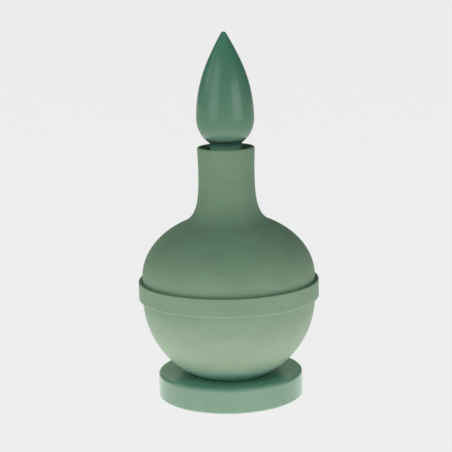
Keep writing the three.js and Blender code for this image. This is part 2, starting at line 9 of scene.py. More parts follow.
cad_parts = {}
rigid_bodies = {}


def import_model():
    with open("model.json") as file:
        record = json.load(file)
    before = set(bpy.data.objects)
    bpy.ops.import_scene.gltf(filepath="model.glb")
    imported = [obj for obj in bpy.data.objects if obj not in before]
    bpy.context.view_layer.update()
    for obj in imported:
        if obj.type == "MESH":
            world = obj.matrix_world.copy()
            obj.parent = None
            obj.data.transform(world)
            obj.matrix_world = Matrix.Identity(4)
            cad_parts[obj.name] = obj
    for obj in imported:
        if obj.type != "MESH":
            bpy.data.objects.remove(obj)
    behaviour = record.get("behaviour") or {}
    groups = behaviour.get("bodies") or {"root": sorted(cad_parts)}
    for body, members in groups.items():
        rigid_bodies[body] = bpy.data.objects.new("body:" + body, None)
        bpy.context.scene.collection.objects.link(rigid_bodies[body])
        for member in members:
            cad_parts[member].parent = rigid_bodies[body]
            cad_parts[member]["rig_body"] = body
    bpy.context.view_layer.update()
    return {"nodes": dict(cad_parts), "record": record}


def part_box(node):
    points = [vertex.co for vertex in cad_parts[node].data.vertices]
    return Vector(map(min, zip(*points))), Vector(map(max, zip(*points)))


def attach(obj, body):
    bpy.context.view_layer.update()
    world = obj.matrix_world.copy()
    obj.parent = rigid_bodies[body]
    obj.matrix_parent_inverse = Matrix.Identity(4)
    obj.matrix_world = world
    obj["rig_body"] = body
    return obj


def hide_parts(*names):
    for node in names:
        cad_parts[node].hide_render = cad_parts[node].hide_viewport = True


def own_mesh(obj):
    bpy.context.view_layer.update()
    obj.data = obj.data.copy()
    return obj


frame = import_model()

bl_info = {
    "name": "Perfume atomiser",
    "version": (1, 0, 0),
    "blender": (4, 5, 0),
    "location": "View3D > Sidebar > Atomiser",
    "description": "Builds the surfaces, finishes and stage of a round flask atomiser on its frame",
    "category": "Add Mesh",
}

MM = 0.001
TURN = 2.0 * math.pi
WHITE = (1.0, 1.0, 1.0, 1.0)
SAME_POINT = 1e-7  # points nearer to each other than this are one point, in metres
ON_WALL = 0.05 * MM  # how far from a wall's radius a point still belongs to the wall


# ---- Settings ----


def length(name, description, millimetres):
    """A length setting, given in millimetres and kept in metres."""
    return FloatProperty(name=name, description=description, default=millimetres * MM,
                         unit="LENGTH", subtype="DISTANCE", min=0.0, precision=5)


def factor(name, description, value):
    """A setting between 0 and 1."""
    return FloatProperty(name=name, description=description, default=value,
                         subtype="FACTOR", min=0.0, max=1.0)


def amount(name, description, value):
    """A plain number that is never negative."""
    return FloatProperty(name=name, description=description, default=value, min=0.0)


def angle(name, description, degrees):
    """An angle setting, given in degrees and kept in radians."""
    return FloatProperty(name=name, description=description, default=math.radians(degrees),
                         unit="ROTATION", subtype="ANGLE")


def colour(name, description, value):
    """A linear colour setting."""
    return FloatVectorProperty(name=name, description=description, default=value,
                               subtype="COLOR", size=3, min=0.0, max=1.0)


class FlaskSizes(bpy.types.PropertyGroup):
    """Sizes of the outer pieces that their boxes in the frame don't give."""

    facets: IntProperty(name="Facets", description="Facets round the large pieces",
                        default=192, min=24, max=512)
    small_facets: IntProperty(name="Small facets", description="Facets round the small pieces",
                              default=72, min=12, max=256)
    gap: length("Gap", "Clearance between pieces that sit in each other", 0.3)
    foot_edge: length("Foot edge", "Rounding of the foot's top edge", 1.1)
    foot_bevel: length("Foot bevel", "Bevel of the foot's bottom edge", 0.55)
    foot_dish: length("Foot dish", "How far the foot's top falls from its rim to the recess", 0.6)
    foot_seat: length("Foot seat", "Depth of the recess that the bowl stands in", 1.0)
    foot_plate: length("Foot plate", "Thickness of the plate under the recess", 2.5)
    foot_web: length("Foot web", "Width of the ledges that carry the felt", 1.8)
    screw_hole: length("Screw hole", "Radius of the hole for the screw", 1.5)
    globe_radius: length("Globe radius", "Outer radius of the bowl's sphere", 30.1)
    globe_flat: length("Globe flat", "Radius of the flat patch under the bowl", 12.0)
    bowl_wall: length("Bowl wall", "Thickness of the bowl", 2.2)
    bowl_floor: length("Bowl floor", "Thickness of the bowl at its flat patch", 2.4)
    boss_wall: length("Boss wall", "Thickness of the boss round the screw", 3.0)
    boss_roof: length("Boss roof", "Thickness of the boss over the screw", 1.2)
    band_lip: length("Band lip", "Wall of the band outside the joint", 1.0)
    band_height: length("Band height", "Height of the raised band", 6.5)
    band_edge: length("Band edge", "Rounding of the band's lower edge", 0.5)
    band_ledge: length("Band ledge", "Height of the ledge inside the band", 1.5)
    shell_wall: length("Shell wall", "Thickness of the upper shell", 2.0)
    dome_lift: length("Dome lift", "Straight stretch above the band", 1.0)
    dome_height: length("Dome height", "Half height of the dome's ellipse", 22.24)
    neck_radius: length("Neck radius", "Outer radius of the neck", 9.73)
    neck_wall: length("Neck wall", "Thickness of the neck", 1.41)
    neck_flare: length("Neck flare", "How far out of the neck its sweep starts", 5.71)
    neck_sweep: length("Neck sweep", "Height of the sweep from dome to neck", 18.76)
    dome_ease: factor("Dome ease", "How long the sweep keeps to the dome's slope", 0.925)
    neck_ease: factor("Neck ease", "How long the sweep keeps to the neck", 0.55)
    rim_flare: length("Rim flare", "How much the neck opens at its rim", 0.2)
    rim_lip: length("Rim lip", "Thickness of the rounded lip of the neck", 0.95)
    rim_slope: length("Rim slope", "Depth of the slope from the lip in to the bore", 1.6)
    cap_belly: length("Cap belly", "Height of the drop's widest place above its underside", 8.1)
    cap_reach: length("Cap reach", "Half height of the drop's lower outline", 10.2)
    cap_fullness: amount("Cap fullness", "Power of the drop's lower outline", 2.03)
    cap_arc: length("Cap arc", "Radius of the arc above the drop's widest place", 47.7)
    cap_arc_rise: length("Cap arc rise", "Height of that arc", 20.1)
    cap_upper_arc: length("Cap upper arc", "Radius of the flatter arc above it", 107.5)
    cap_upper_rise: length("Cap upper rise", "Height of the flatter arc", 8.9)
    cap_tip: length("Cap tip", "Rounding of the drop's tip", 1.04)
    sleeve_wall: length("Sleeve wall", "Thickness of the sleeve in the cap", 0.8)
    sleeve_roof: length("Sleeve roof", "Thickness of the sleeve's roof", 1.0)


class PumpSizes(bpy.types.PropertyGroup):
    """Sizes of the glass and the pump that their boxes in the frame don't give."""

    glass_wall: length("Glass wall", "Thickness of the glass", 1.8)
    glass_heel: length("Glass heel", "Rounding between the glass floor and side", 5.0)
    glass_shoulder: length("Glass shoulder", "Rounding between side and neck", 10.5)
    glass_fillet: length("Glass fillet", "Rounding between shoulder and neck", 1.6)
    glass_neck: length("Glass neck", "Outer radius of the glass neck", 6.2)
    glass_bore: length("Glass bore", "Inner radius of the glass neck", 4.2)
    glass_neck_length: length("Glass neck length", "From the shoulder's top to the lip", 13.7)
    thread_height: length("Thread height", "How far the glass thread stands out", 0.24)
    thread_pitch: length("Thread pitch", "Rise of the glass thread in one turn", 2.8)
    collar_bore: length("Collar bore", "Inner radius of the screw collar", 6.5)
    rib_depth: length("Rib depth", "Depth of the grooves round the collar", 0.14)
    ribs: IntProperty(name="Ribs", description="Grooves round the collar", default=60, min=0)
    turret_radius: length("Turret radius", "Outer radius of the stem's guide", 4.3)
    turret_wall: length("Turret wall", "Thickness of the stem's guide", 1.7)
    stem_radius: length("Stem radius", "Outer radius of the stem", 1.2)
    stem_bore: length("Stem bore", "Inner radius of the stem", 0.6)
    chamber_radius: length("Chamber radius", "Inner radius of the pump's cylinder", 3.0)
    housing_wall: length("Housing wall", "Thickness of the pump's cylinder", 0.8)
    tube_bore: length("Tube bore", "Inner radius of the dip tube", 0.9)
    nozzle_radius: length("Nozzle radius", "Radius of the nozzle insert", 1.3)
    spring_radius: length("Spring radius", "Radius to the middle of the wire", 2.3)
    wire_radius: length("Wire radius", "Radius of the spring's wire", 0.3)
    spring_turns: amount("Spring turns", "Turns of the return spring", 5.5)


class FlaskFinishes(bpy.types.PropertyGroup):
    """Colours of the flask, as linear values, and how rough its surfaces are."""

    matte_green: colour("Matte green", "Moulded shells", (0.217, 0.336, 0.231))
    cap_green: colour("Cap green", "Polished cap, at its widest place", (0.146, 0.298, 0.203))
    tip_green: colour("Tip green", "Polished cap, at its tip", (0.098, 0.280, 0.201))
    # Painted shade: the sleeve's dark tone stands in for the shade under the cap; sleeve_pale is its tone
    # out of that shade.
    sleeve_shade_green: colour("Sleeve green", "Sleeve under the cap", (0.072, 0.190, 0.138))
    sleeve_pale: colour("Sleeve pale", "Sleeve where it enters the neck", (0.25, 0.45, 0.36))
    foot_green: colour("Foot green", "Side of the polished foot", (0.163, 0.300, 0.212))
    # Painted light: the foot's top is lighter and more teal than its side, standing in for light bounced
    # onto it.
    top_lit_green: colour("Top green", "Top of the polished foot", (0.185, 0.400, 0.315))
    # Painted bounce light: a lighter teal for the bowl's lowest part, standing in for light bounced up
    # from the foot.
    bounce_green: colour("Cast green", "Lowest part of the bowl, next to the foot", (0.262, 0.560, 0.466))
    cap_shine: colour("Cap shine", "Tint of the highlights on cap and sleeve", (1.0, 0.84, 0.92))
    # Painted shade: a dark green that stands in for the shade inside the neck's bore.
    bore_shade_green: colour("Bore green", "Unpainted inside of the neck", (0.050, 0.185, 0.100))
    matte_roughness: factor("Matte roughness", "Roughness of the moulded shells", 0.55)
    cap_roughness: factor("Cap roughness", "Roughness of the polished cap", 0.20)
    foot_roughness: factor("Foot roughness", "Roughness of the foot's polished top", 0.07)
    side_roughness: factor("Side roughness", "Roughness of the foot's handled side", 0.26)


class StageSettings(bpy.types.PropertyGroup):
    """Camera, lamps, floor and surroundings."""

    background: amount("Background", "Brightness of the floor and backdrop where they are seen", 0.826)
    patch_light: amount("Patch light", "Light that the floor near the object gives back to it", 1.70)
    patch_radius: length("Patch radius", "Where that light has faded to half", 150)
    patch_gloss: amount("Patch gloss", "Brightness of that patch in polished surfaces", 1.2)
    far_gloss: amount("Far gloss", "Brightness of the studio's front in polished surfaces", 0.30)
    side_gloss: amount("Side gloss", "Brightness of its sides in polished surfaces", 0.04)
    back_left: amount("Back left", "Brightness of the backdrop's left half in polished surfaces", 0.56)
    back_right: amount("Back right", "Brightness of its right half in polished surfaces", 0.26)
    back_tint: colour("Back tint", "Tint of the backdrop in polished surfaces", (0.88, 1.0, 0.70))
    sky: amount("Sky", "Light from all round", 0.18)
    left_box: amount("Left box", "Brightness of the left softbox", 1.52)
    right_box: amount("Right box", "Brightness of the right softbox", 2.15)
    side_box: amount("Side box", "Brightness of the raised softbox at the left side", 1.2)
    lamp_distance: length("Lamp distance", "From the flask's axis to the softboxes", 800)
    lamp_aim: length("Lamp aim", "Height on the axis that the softboxes face", 60)
    warm: colour("Warm", "Tint of the light from below", (1.0, 0.78, 0.81))
    cool: colour("Cool", "Tint of the light from above and in front", (0.86, 1.0, 0.93))
    camera_distance: length("Camera distance", "In front of the flask's axis", 507.5)
    camera_height: length("Camera height", "Above the table", 158.4)
    camera_side: FloatProperty(name="Camera side", description="Sideways from the axis",
                               default=-0.53 * MM, unit="LENGTH", subtype="DISTANCE")
    camera_pitch: angle("Camera pitch", "Downward tilt of the camera", 10.95)
    camera_roll: angle("Camera roll", "Clockwise turn of the camera", 1.25)
    camera_lens: FloatProperty(name="Lens", description="Focal length in millimetres",
                               default=118.27, unit="CAMERA")


# ---- Outlines: arrays of (radius, height) points ----


def spread(count):
    """Shares from 0 to 1 that crowd towards both ends: half of one minus the cosine."""
    return (1.0 - np.cos(np.linspace(0.0, math.pi, count + 1))) / 2.0


def line(start, end, count=8):
    """Points on the straight line from start to end, closer together near its ends."""
    share = spread(count)[:, None]
    return np.asarray(start) * (1.0 - share) + np.asarray(end) * share


def arc(centre, reach, rise, start, end, count=12):
    """Points on an ellipse round centre: (reach cos a, rise sin a), with a in degrees."""
    turn = np.radians(np.linspace(start, end, count + 1))
    return np.stack([centre[0] + reach * np.cos(turn), centre[1] + rise * np.sin(turn)], 1)


def bezier(points, count=24):
    """Cubic Bezier curve: each point weighted with its Bernstein polynomial."""
    p = np.asarray(points)
    t = np.linspace(0.0, 1.0, count + 1)[:, None]
    return ((1 - t) ** 3 * p[0] + 3 * t * (1 - t) ** 2 * p[1]
            + 3 * t ** 2 * (1 - t) * p[2] + t ** 3 * p[3])


def joined(*stretches):
    """One outline from several stretches, with straight runs between them and no point twice."""
    parts = [np.atleast_2d(stretches[0])]
    for stretch in stretches[1:]:
        stretch = np.atleast_2d(stretch)
        if np.linalg.norm(stretch[0] - parts[-1][-1]) > SAME_POINT:
            parts.append(line(parts[-1][-1], stretch[0])[1:-1])
        parts.append(stretch)
    outline = np.concatenate(parts)
    step = np.linalg.norm(np.diff(outline, axis=0), axis=1)
    return outline[np.concatenate([[True], step > SAME_POINT])]


def corner(before, point, after, fillet, count=5):
    """A corner rounded with an arc that touches both of its sides."""
    point = np.asarray(point)
    to_before = np.asarray(before) - point
    to_after = np.asarray(after) - point
    to_before = to_before / np.linalg.norm(to_before)
    to_after = to_after / np.linalg.norm(to_after)
    half = math.acos(np.clip(to_before @ to_after, -1.0, 1.0)) / 2.0
    nearly_straight = math.pi / 2.0 - half < 1e-3
    if fillet <= 0.0 or nearly_straight:
        return point[None, :]
    middle = (to_before + to_after) / np.linalg.norm(to_before + to_after)
    centre = point + middle * fillet / math.sin(half)
    first = point + to_before * fillet / math.tan(half) - centre
    last = point + to_after * fillet / math.tan(half) - centre
    share = np.linspace(0.0, 1.0, count + 1)[:, None]
    sweep = math.pi - 2.0 * half
    spokes = first * np.sin((1 - share) * sweep) + last * np.sin(share * sweep)
    return centre + spokes / math.sin(sweep)


def filleted(corners, closed=True):
    """An outline through (radius, height, fillet) corners."""
    points = [np.array(c[:2]) for c in corners]
    count = len(points)
    stretches = []
    for i, (point, (_, _, fillet)) in enumerate(zip(points, corners)):
        if not closed and i in (0, count - 1):
            stretches.append(point[None, :])
        else:
            stretches.append(corner(points[i - 1], point, points[(i + 1) % count], fillet))
    if closed:
        stretches.append(stretches[0][:1])
    return joined(*stretches)


# ---- Surfaces and pieces ----


def grid_mesh(name, points, round_rows, pole_first=None, pole_last=None):
    """A closed mesh from a grid of points: columns always close round, rows do if round_rows is set,
    and otherwise a pole point closes each end."""
    rows, columns, _ = points.shape
    vertices = points.reshape(-1, 3)
    index = np.arange(rows * columns).reshape(rows, columns)
    right = np.roll(index, -1, axis=1)
    if round_rows:
        above, above_right = np.roll(index, -1, axis=0), np.roll(right, -1, axis=0)
        quads = np.stack([index, right, above_right, above], -1).reshape(-1, 4)
    else:
        quads = np.stack([index[:-1], right[:-1], right[1:], index[1:]], -1).reshape(-1, 4)
    faces = quads.tolist()
    if not round_rows:
        first = len(vertices)
        vertices = np.concatenate([vertices, [pole_first, pole_last]])
        faces += np.stack([np.full(columns, first), right[0], index[0]], -1).tolist()
        faces += np.stack([index[-1], right[-1], np.full(columns, first + 1)], -1).tolist()
    mesh = bpy.data.meshes.new(name)
    mesh.from_pydata(vertices.tolist(), [], faces)
    mesh.update()
    return mesh


def turned_points(outline, facets):
    """The outline carried round the axis: (r cos a, r sin a, z) at even angles a."""
    a = np.arange(facets) * TURN / facets
    r, z = outline[:, :1], outline[:, 1:]
    return np.stack([r * np.cos(a), r * np.sin(a), np.broadcast_to(z, (len(r), facets))], -1)


def turned(name, outline, facets, shape=None, place=None):
    """A surface of revolution. The outline runs upwards on its outside, and either closes on itself
    or starts and ends on the axis. shape(points) may move its points, and place is a 4x4 matrix."""
    closes = np.linalg.norm(outline[0] - outline[-1]) < SAME_POINT
    rows = outline[:-1] if closes else outline[1:-1]
    points = turned_points(rows, facets)
    if shape is not None:
        points = shape(points)
    poles = [None, None] if closes else [np.array([0.0, 0.0, outline[i][1]]) for i in (0, -1)]
    mesh = grid_mesh(name, points, closes, *poles)
    if place is not None:
        mesh.transform(place)
    return mesh


def add_piece(mesh, node, finish, sharp=32.0):
    """Puts a finished mesh in the scene in place of its CAD node, riding on the node's body."""
    mesh.polygons.foreach_set("use_smooth", np.ones(len(mesh.polygons), bool))
    mesh.set_sharp_from_angle(angle=math.radians(sharp))
    mesh.materials.append(finish)
    piece = bpy.data.objects.new(mesh.name, mesh)
    bpy.context.scene.collection.objects.link(piece)
    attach(piece, frame["nodes"][node]["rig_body"])
    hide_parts(node)
    return piece


def travel(joint):
    """How far a joint of the record moves its body."""
    rows = frame["record"]["behaviour"]["joints"]
    low, high = next(row["range_m"] for row in rows if row["name"] == joint)
    return high - low


def extent(node):
    """Outer radius, lowest and highest level of a turned CAD node."""
    low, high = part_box(node)
    return high.x, low.z, high.z


def globe(sizes):
    """Level of the flat patch under the bowl, and of the centre of its sphere."""
    _, flat, _ = extent("lower_bowl")
    return flat, flat + math.sqrt(sizes.globe_radius ** 2 - sizes.globe_flat ** 2)


RING_EDGE = 0.12 * MM


def ring(name, node, bore, finish):
    """A turned ring or tube with a rectangular section that fills its node's box."""
    radius, bottom, top = extent(node)
    outline = filleted([(bore, bottom, RING_EDGE), (radius, bottom, RING_EDGE),
                        (radius, top, RING_EDGE), (bore, top, RING_EDGE)])
    facets = bpy.context.scene.flask_sizes.small_facets
    add_piece(turned(name, outline, facets), node, finish)


def polar(points):
    """The x, y and z of a grid of points, and their distance from the axis."""
    x, y, z = points[..., 0], points[..., 1], points[..., 2]
    return x, y, z, np.hypot(x, y)


def faded(z, low, high, reach):
    """One between two levels, falling to nothing over reach inside each of them."""
    return np.clip((z - low) / reach, 0, 1) * np.clip((high - z) / reach, 0, 1)


def grown(x, y, z, r, distance):
    """Points moved away from the axis: x and y times one plus distance over radius."""
    grow = 1.0 + distance / np.maximum(r, 1e-9)
    return np.stack([x * grow, y * grow, z], -1)


# ---- Finishes ----


class Wire:
    """A node's output that can be used in Python arithmetic."""

    def __init__(self, finish, socket):
        self.finish = finish
        self.socket = socket

    def math(self, operation, *others):
        return self.finish.add("Math", {"operation": operation}, dict(enumerate((self, *others))))

    def __add__(self, other):
        return self.math("ADD", other)

    __radd__ = __add__

    def __mul__(self, other):
        return self.math("MULTIPLY", other)

    __rmul__ = __mul__

    def __sub__(self, other):
        return self.math("SUBTRACT", other)

    def __rsub__(self, other):
        return self.finish.add("Math", {"operation": "SUBTRACT"}, {0: other, 1: self})

    def size(self):
        return self.math("ABSOLUTE")

    def larger(self, other):
        return self.math("MAXIMUM", other)

    def ramp(self, low, high, to_low=0.0, to_high=1.0):
        """Runs smoothly from to_low at low to to_high at high."""
        return self.finish.add("MapRange", {"interpolation_type": "SMOOTHSTEP"},
                               {0: self, 1: low, 2: high, 3: to_low, 4: to_high})


class Finish:
    """A material under construction. Every node comes from add()."""

    def __init__(self, name, kind=None):
        self.material = (bpy.data.materials if kind is None else kind).new(name)
        self.material.use_nodes = True
        self.tree = self.material.node_tree
        self.tree.nodes.clear()

    def add(self, kind, settings=None, values=None, out=0):
        node = self.tree.nodes.new("ShaderNode" + kind)
        for key, value in (settings or {}).items():
            setattr(node, key, value)
        for key, value in (values or {}).items():
            if isinstance(value, Wire):
                self.tree.links.new(value.socket, node.inputs[key])
            else:
                node.inputs[key].default_value = value
        return Wire(self, node.outputs[out]) if node.outputs else None

    def place(self):
        """The point in the object's own frame, in metres."""
        return self.add("TexCoord", out="Object")

    def noise(self, size, detail=2.0, roughness=0.5, stretch=(1.0, 1.0, 1.0), shift=0.0):
        """Noise between 0 and 1 whose features are about size metres across."""
        point = self.add("VectorMath", {"operation": "MULTIPLY"}, {0: self.place(), 1: stretch})
        point = self.add("VectorMath", {"operation": "ADD"}, {0: point, 1: (shift,) * 3})
        return self.add("TexNoise", None, {"Vector": point, "Scale": 1.0 / size,
                                           "Detail": detail, "Roughness": roughness})

    def mix(self, share, first, second, way="MIX"):
        """The second colour over the first by share, or laid over it in a way such as MULTIPLY."""
        return self.add("Mix", {"data_type": "RGBA", "blend_type": way},
                        {0: share, 6: first, 7: second}, out=2)

    def radius_height(self):
        """Distance from the axis and height, in metres."""
        flat = self.add("VectorMath", {"operation": "MULTIPLY"}, {0: self.place(), 1: (1, 1, 0)})
        radius = self.add("VectorMath", {"operation": "LENGTH"}, {0: flat}, out="Value")
        height = self.add("SeparateXYZ", None, {0: self.place()}, out="Z")
        return radius, height

    def bump(self, height, distance, strength=1.0):
        """A normal for relief of the given depth in metres."""
        return self.add("Bump", None, {"Height": height, "Distance": distance, "Strength": strength})

    def surface(self, **values):
        """Ends the material in one principled shader with these socket values or wires."""
        shader = self.add("BsdfPrincipled", None,
                          {key.replace("_", " "): value for key, value in values.items()})
        self.add("OutputMaterial", None, {"Surface": shader})
        return self.material


def tone(rgb, gain=1.0):
    """A colour as four numbers, made lighter or darker by gain."""
    return tuple(min(1.0, c * gain) for c in rgb) + (1.0,)


def once(build):
    """Makes a finish the first time it is asked for, and returns the same one later."""
    def wrapped():
        name = build.__name__
        return bpy.data.materials.get(name) or build(Finish(name))
    return wrapped


# The band's lower edge carries real wear and a painted highlight, and both fade over this distance.
EDGE_WEAR_AND_HIGHLIGHT = (0.15 * MM, 0.75 * MM)  # distance from the band's lower edge over which wear fades
EDGE_REACH = (0.7 * MM, 1.2 * MM)  # how far outside the globe that wear starts and is full
# These two set where the painted bounce light on the bowl's bottom fades out.
BOUNCE_FADE = (0.5 * MM, 8.5 * MM)  # heights above the bowl's flat where its lowest colour fades out
BOUNCE_CORE = (0.3 * MM, 3.0 * MM)  # and where the lightest part of it does
# The bore's colour is painted shade inside the neck. These two set where it ends and starts.
BORE_EDGE = (0.1 * MM, 0.4 * MM)  # distance outside the bore over which its colour ends
BORE_FOOT = (12 * MM, 16 * MM)  # heights above the band where the bore's colour starts


@once
def moulded_green(finish):
    """Matte moulded resin: soft mottling, fine grain, pale rubbing that is partly a painted highlight, and
    nicks on the band's lower edge, painted teal bounce light on the bottom of the bowl, and painted
    shade in the bore of the neck."""
    looks = bpy.context.scene.flask_finishes
    sizes = bpy.context.scene.flask_sizes
    base = looks.matte_green
    _, flat, band_top = extent("lower_bowl")
    band_bottom = band_top - sizes.band_height
    radius, height = finish.radius_height()
    cloud = finish.noise(14 * MM, 3.0, 0.55, stretch=(1, 1, 1.8))
    grain = finish.noise(0.35 * MM, 3.0, 0.6)
    speck = finish.noise(0.9 * MM, 1.0, 0.4, shift=3.0).ramp(0.69, 0.76)
    edge = (1.0 - (height - band_bottom).size().ramp(*EDGE_WEAR_AND_HIGHLIGHT)) * radius.ramp(
        sizes.globe_radius + EDGE_REACH[0], sizes.globe_radius + EDGE_REACH[1])
    # Pale rubbing on the band's lower edge: partly real wear, partly a painted highlight along that edge.
    rub_and_highlight = edge * finish.noise(2.4 * MM, 3.0, 0.7, stretch=(1, 1, 0.5), shift=1.0).ramp(0.45, 0.68)
    nick = edge * finish.noise(0.8 * MM, 2.0, 0.6, shift=7.0).ramp(0.63, 0.70)
    hue = finish.mix(cloud.ramp(0.3, 0.7), tone(base, 0.95), tone(base, 1.05))
    # Painted bounce light: the bowl's lowest part is tinted lighter teal, as if lit by light bounced from
    # the foot.
    hue = finish.mix(height.ramp(flat + BOUNCE_FADE[0], flat + BOUNCE_FADE[1], 1.0, 0.0), hue,
                     tone(looks.bounce_green))
    hue = finish.mix(height.ramp(flat + BOUNCE_CORE[0], flat + BOUNCE_CORE[1], 0.9, 0.0), hue,
                     tone(looks.bounce_green, 1.6))
    # Painted shade: the neck's bore is darkened where shade falls inside it.
    bore = sizes.neck_radius - sizes.neck_wall
    inside = radius.ramp(bore + BORE_EDGE[0], bore + BORE_EDGE[1], 1.0, 0.0) * height.ramp(
        band_top + BORE_FOOT[0], band_top + BORE_FOOT[1])
    hue = finish.mix(inside, hue, tone(looks.bore_shade_green))
    hue = finish.mix(grain.ramp(0.35, 0.65) * 0.10, hue, tone(base, 0.78))
    hue = finish.mix(speck * 0.12, hue, tone(base, 1.35))
    # Pale edge tone: partly wear, partly painted highlight.
    hue = finish.mix(rub_and_highlight * 0.35, hue, tone(base, 1.35))
    hue = finish.mix(nick * 0.5, hue, tone(base, 0.6))
    rough = looks.matte_roughness + (cloud - 0.5) * 0.10 + (grain - 0.5) * 0.12 - rub_and_highlight * 0.10
    relief = grain * 0.6 + cloud * 0.4 - nick * 1.5
    return finish.surface(Base_Color=hue, Roughness=rough, IOR=1.36,
                          Normal=finish.bump(relief, 0.02 * MM, 0.6))


def polished(finish, hue, roughness, shine=WHITE, wear=1.0):
    """Polished resin with faint clouding, smudges and hair scratches as strong as wear, and highlights
    tinted with shine."""
    cloud = finish.noise(9 * MM, 3.0, 0.6, stretch=(1, 1, 0.6))
    smudge = finish.noise(5 * MM, 4.0, 0.65, shift=5.0)
    hair = finish.noise(0.5 * MM, 2.0, 0.5, stretch=(1, 1, 0.06), shift=2.0)
    ring_mark = finish.noise(0.6 * MM, 2.0, 0.5, stretch=(0.08, 0.08, 1), shift=4.0)
    clouded = finish.mix(cloud.ramp(0.3, 0.7), (0.93, 0.93, 0.93, 1.0), WHITE)
    hue = finish.mix(1.0, hue, clouded, "MULTIPLY")
    scratched = (0.35, 0.50, 0.42, 1.0)
    hue = finish.mix(hair.ramp(0.62, 0.74) * (0.06 * wear), hue, scratched)
    rough = roughness + smudge.ramp(0.4, 0.75) * 0.05 + hair.ramp(0.6, 0.8) * (0.04 * wear)
    relief = hair * 0.3 + ring_mark * 0.4 + cloud * 0.3
    return finish.surface(Base_Color=hue, Roughness=rough, IOR=1.45, Specular_Tint=shine,
                          Normal=finish.bump(relief, 0.006 * MM, 0.5 * wear))


# The cap's underside carries painted shade as well as a duller surface.
CAP_SHADE = 1.6 * MM  # height over which the cap's dull underside fades out
# The sleeve's dark tone near the cap is painted shade.
SLEEVE_FADE = (2.6 * MM, 0.8 * MM)  # depths under the cap where the sleeve is pale and still dark


@once
def polished_cap(finish):
    """Deep blue-green of the cap, bluer towards its tip, with painted shade and a duller surface
    right round the sleeve.
    """
    looks = bpy.context.scene.flask_finishes
    _, bottom, top = extent("teardrop_cap")
    _, height = finish.radius_height()
    # Painted shade: the cap darkens towards its underside round the sleeve, and is also duller there.
    under = height.ramp(bottom, bottom + CAP_SHADE, 1.0, 0.0)
    hue = finish.mix(height.ramp(bottom, top), tone(looks.cap_green), tone(looks.tip_green))
    hue = finish.mix(under, hue, tone(looks.sleeve_shade_green, 0.5))
    return polished(finish, hue, under * 0.4 + looks.cap_roughness, tone(looks.cap_shine))


@once
def polished_sleeve(finish):
    """Blue-green of the sleeve, darkened by painted shade right under the cap, paler towards the neck's
    rim.
    """
    looks = bpy.context.scene.flask_finishes
    _, cap_bottom, _ = extent("teardrop_cap")
    _, height = finish.radius_height()
    # Painted shade: the sleeve is dark right under the cap and paler lower down.
    pale = height.ramp(cap_bottom - SLEEVE_FADE[0], cap_bottom - SLEEVE_FADE[1], 1.0, 0.0)
    hue = finish.mix(pale, tone(looks.sleeve_shade_green), tone(looks.sleeve_pale))
    return polished(finish, hue, looks.cap_roughness, tone(looks.cap_shine))


@once
def polished_foot(finish):
    """Paler blue-green of the foot: a mirror-like top painted lighter and more teal as painted bounce
    light, a side dulled by handling.
    """
    looks = bpy.context.scene.flask_finishes
    _, _, top = extent("base_foot")
    _, height = finish.radius_height()
    edge = bpy.context.scene.flask_sizes.foot_edge
    side = height.ramp(top - 0.5 * edge, top - 0.02 * edge, 1.0, 0.0)
    rough = side * (looks.side_roughness - looks.foot_roughness) + looks.foot_roughness
    # Painted light: the top takes a lighter, more teal colour than the side.
    hue = finish.mix(side, tone(looks.top_lit_green), tone(looks.foot_green))
    return polished(finish, hue, rough, wear=0.1)


@once
def clear_glass(finish):
    """Clear pressed glass with a faint green tint, slight waves and a few seeds."""
    wave = finish.noise(9 * MM, 2.0, 0.4, stretch=(1, 1, 0.5))
    seed = finish.noise(0.8 * MM, 0.0, 0.5, shift=6.0).ramp(0.78, 0.82)
    return finish.surface(Base_Color=(0.93, 0.975, 0.955, 1.0), IOR=1.5,
                          Roughness=0.02 + seed * 0.15, Transmission_Weight=1.0,
                          Normal=finish.bump(wave + seed * 0.3, 0.08 * MM, 0.5))


@once
def satin_aluminium(finish):
    """Spun aluminium: fine rings round the axis, soft clouding and fingerprints."""
    spun = finish.noise(0.25 * MM, 3.0, 0.6, stretch=(0.03, 0.03, 1))
    cloud = finish.noise(6 * MM, 3.0, 0.6)
    hue = finish.mix(spun, (0.70, 0.71, 0.72, 1.0), (0.86, 0.87, 0.88, 1.0))
    return finish.surface(Base_Color=hue, Metallic=1.0,
                          Roughness=0.27 + spun * 0.12 + cloud.ramp(0.45, 0.8) * 0.10,
                          Normal=finish.bump(spun, 0.008 * MM, 0.5))


@once
def bright_steel(finish):
    """Turned steel with fine marks and slight tarnish."""
    mark = finish.noise(0.2 * MM, 3.0, 0.6, stretch=(0.1, 0.1, 1))
    tarnish = finish.noise(1.5 * MM, 3.0, 0.6)
    hue = finish.mix(tarnish.ramp(0.5, 0.8) * 0.3, (0.72, 0.72, 0.73, 1.0), (0.50, 0.46, 0.42, 1.0))
    return finish.surface(Base_Color=hue, Metallic=1.0, Roughness=0.22 + mark * 0.14,
                          Normal=finish.bump(mark, 0.006 * MM, 0.5))


@once
def natural_plastic(finish):
    """Natural white polypropylene: slightly waxy, with flow clouds and a fine moulded grain."""
    flow = finish.noise(3.5 * MM, 3.0, 0.6, stretch=(1, 1, 0.5))
    grain = finish.noise(0.15 * MM, 2.0, 0.5)
    hue = finish.mix(flow.ramp(0.3, 0.7), (0.76, 0.755, 0.71, 1.0), (0.82, 0.815, 0.775, 1.0))
    return finish.surface(Base_Color=hue, Roughness=0.36 + grain * 0.10 + flow.ramp(0.5, 0.8) * 0.05,
                          IOR=1.49, Subsurface_Weight=0.12, Subsurface_Radius=(0.9, 0.8, 0.6),
                          Subsurface_Scale=1.0 * MM, Normal=finish.bump(grain, 0.006 * MM, 0.5))


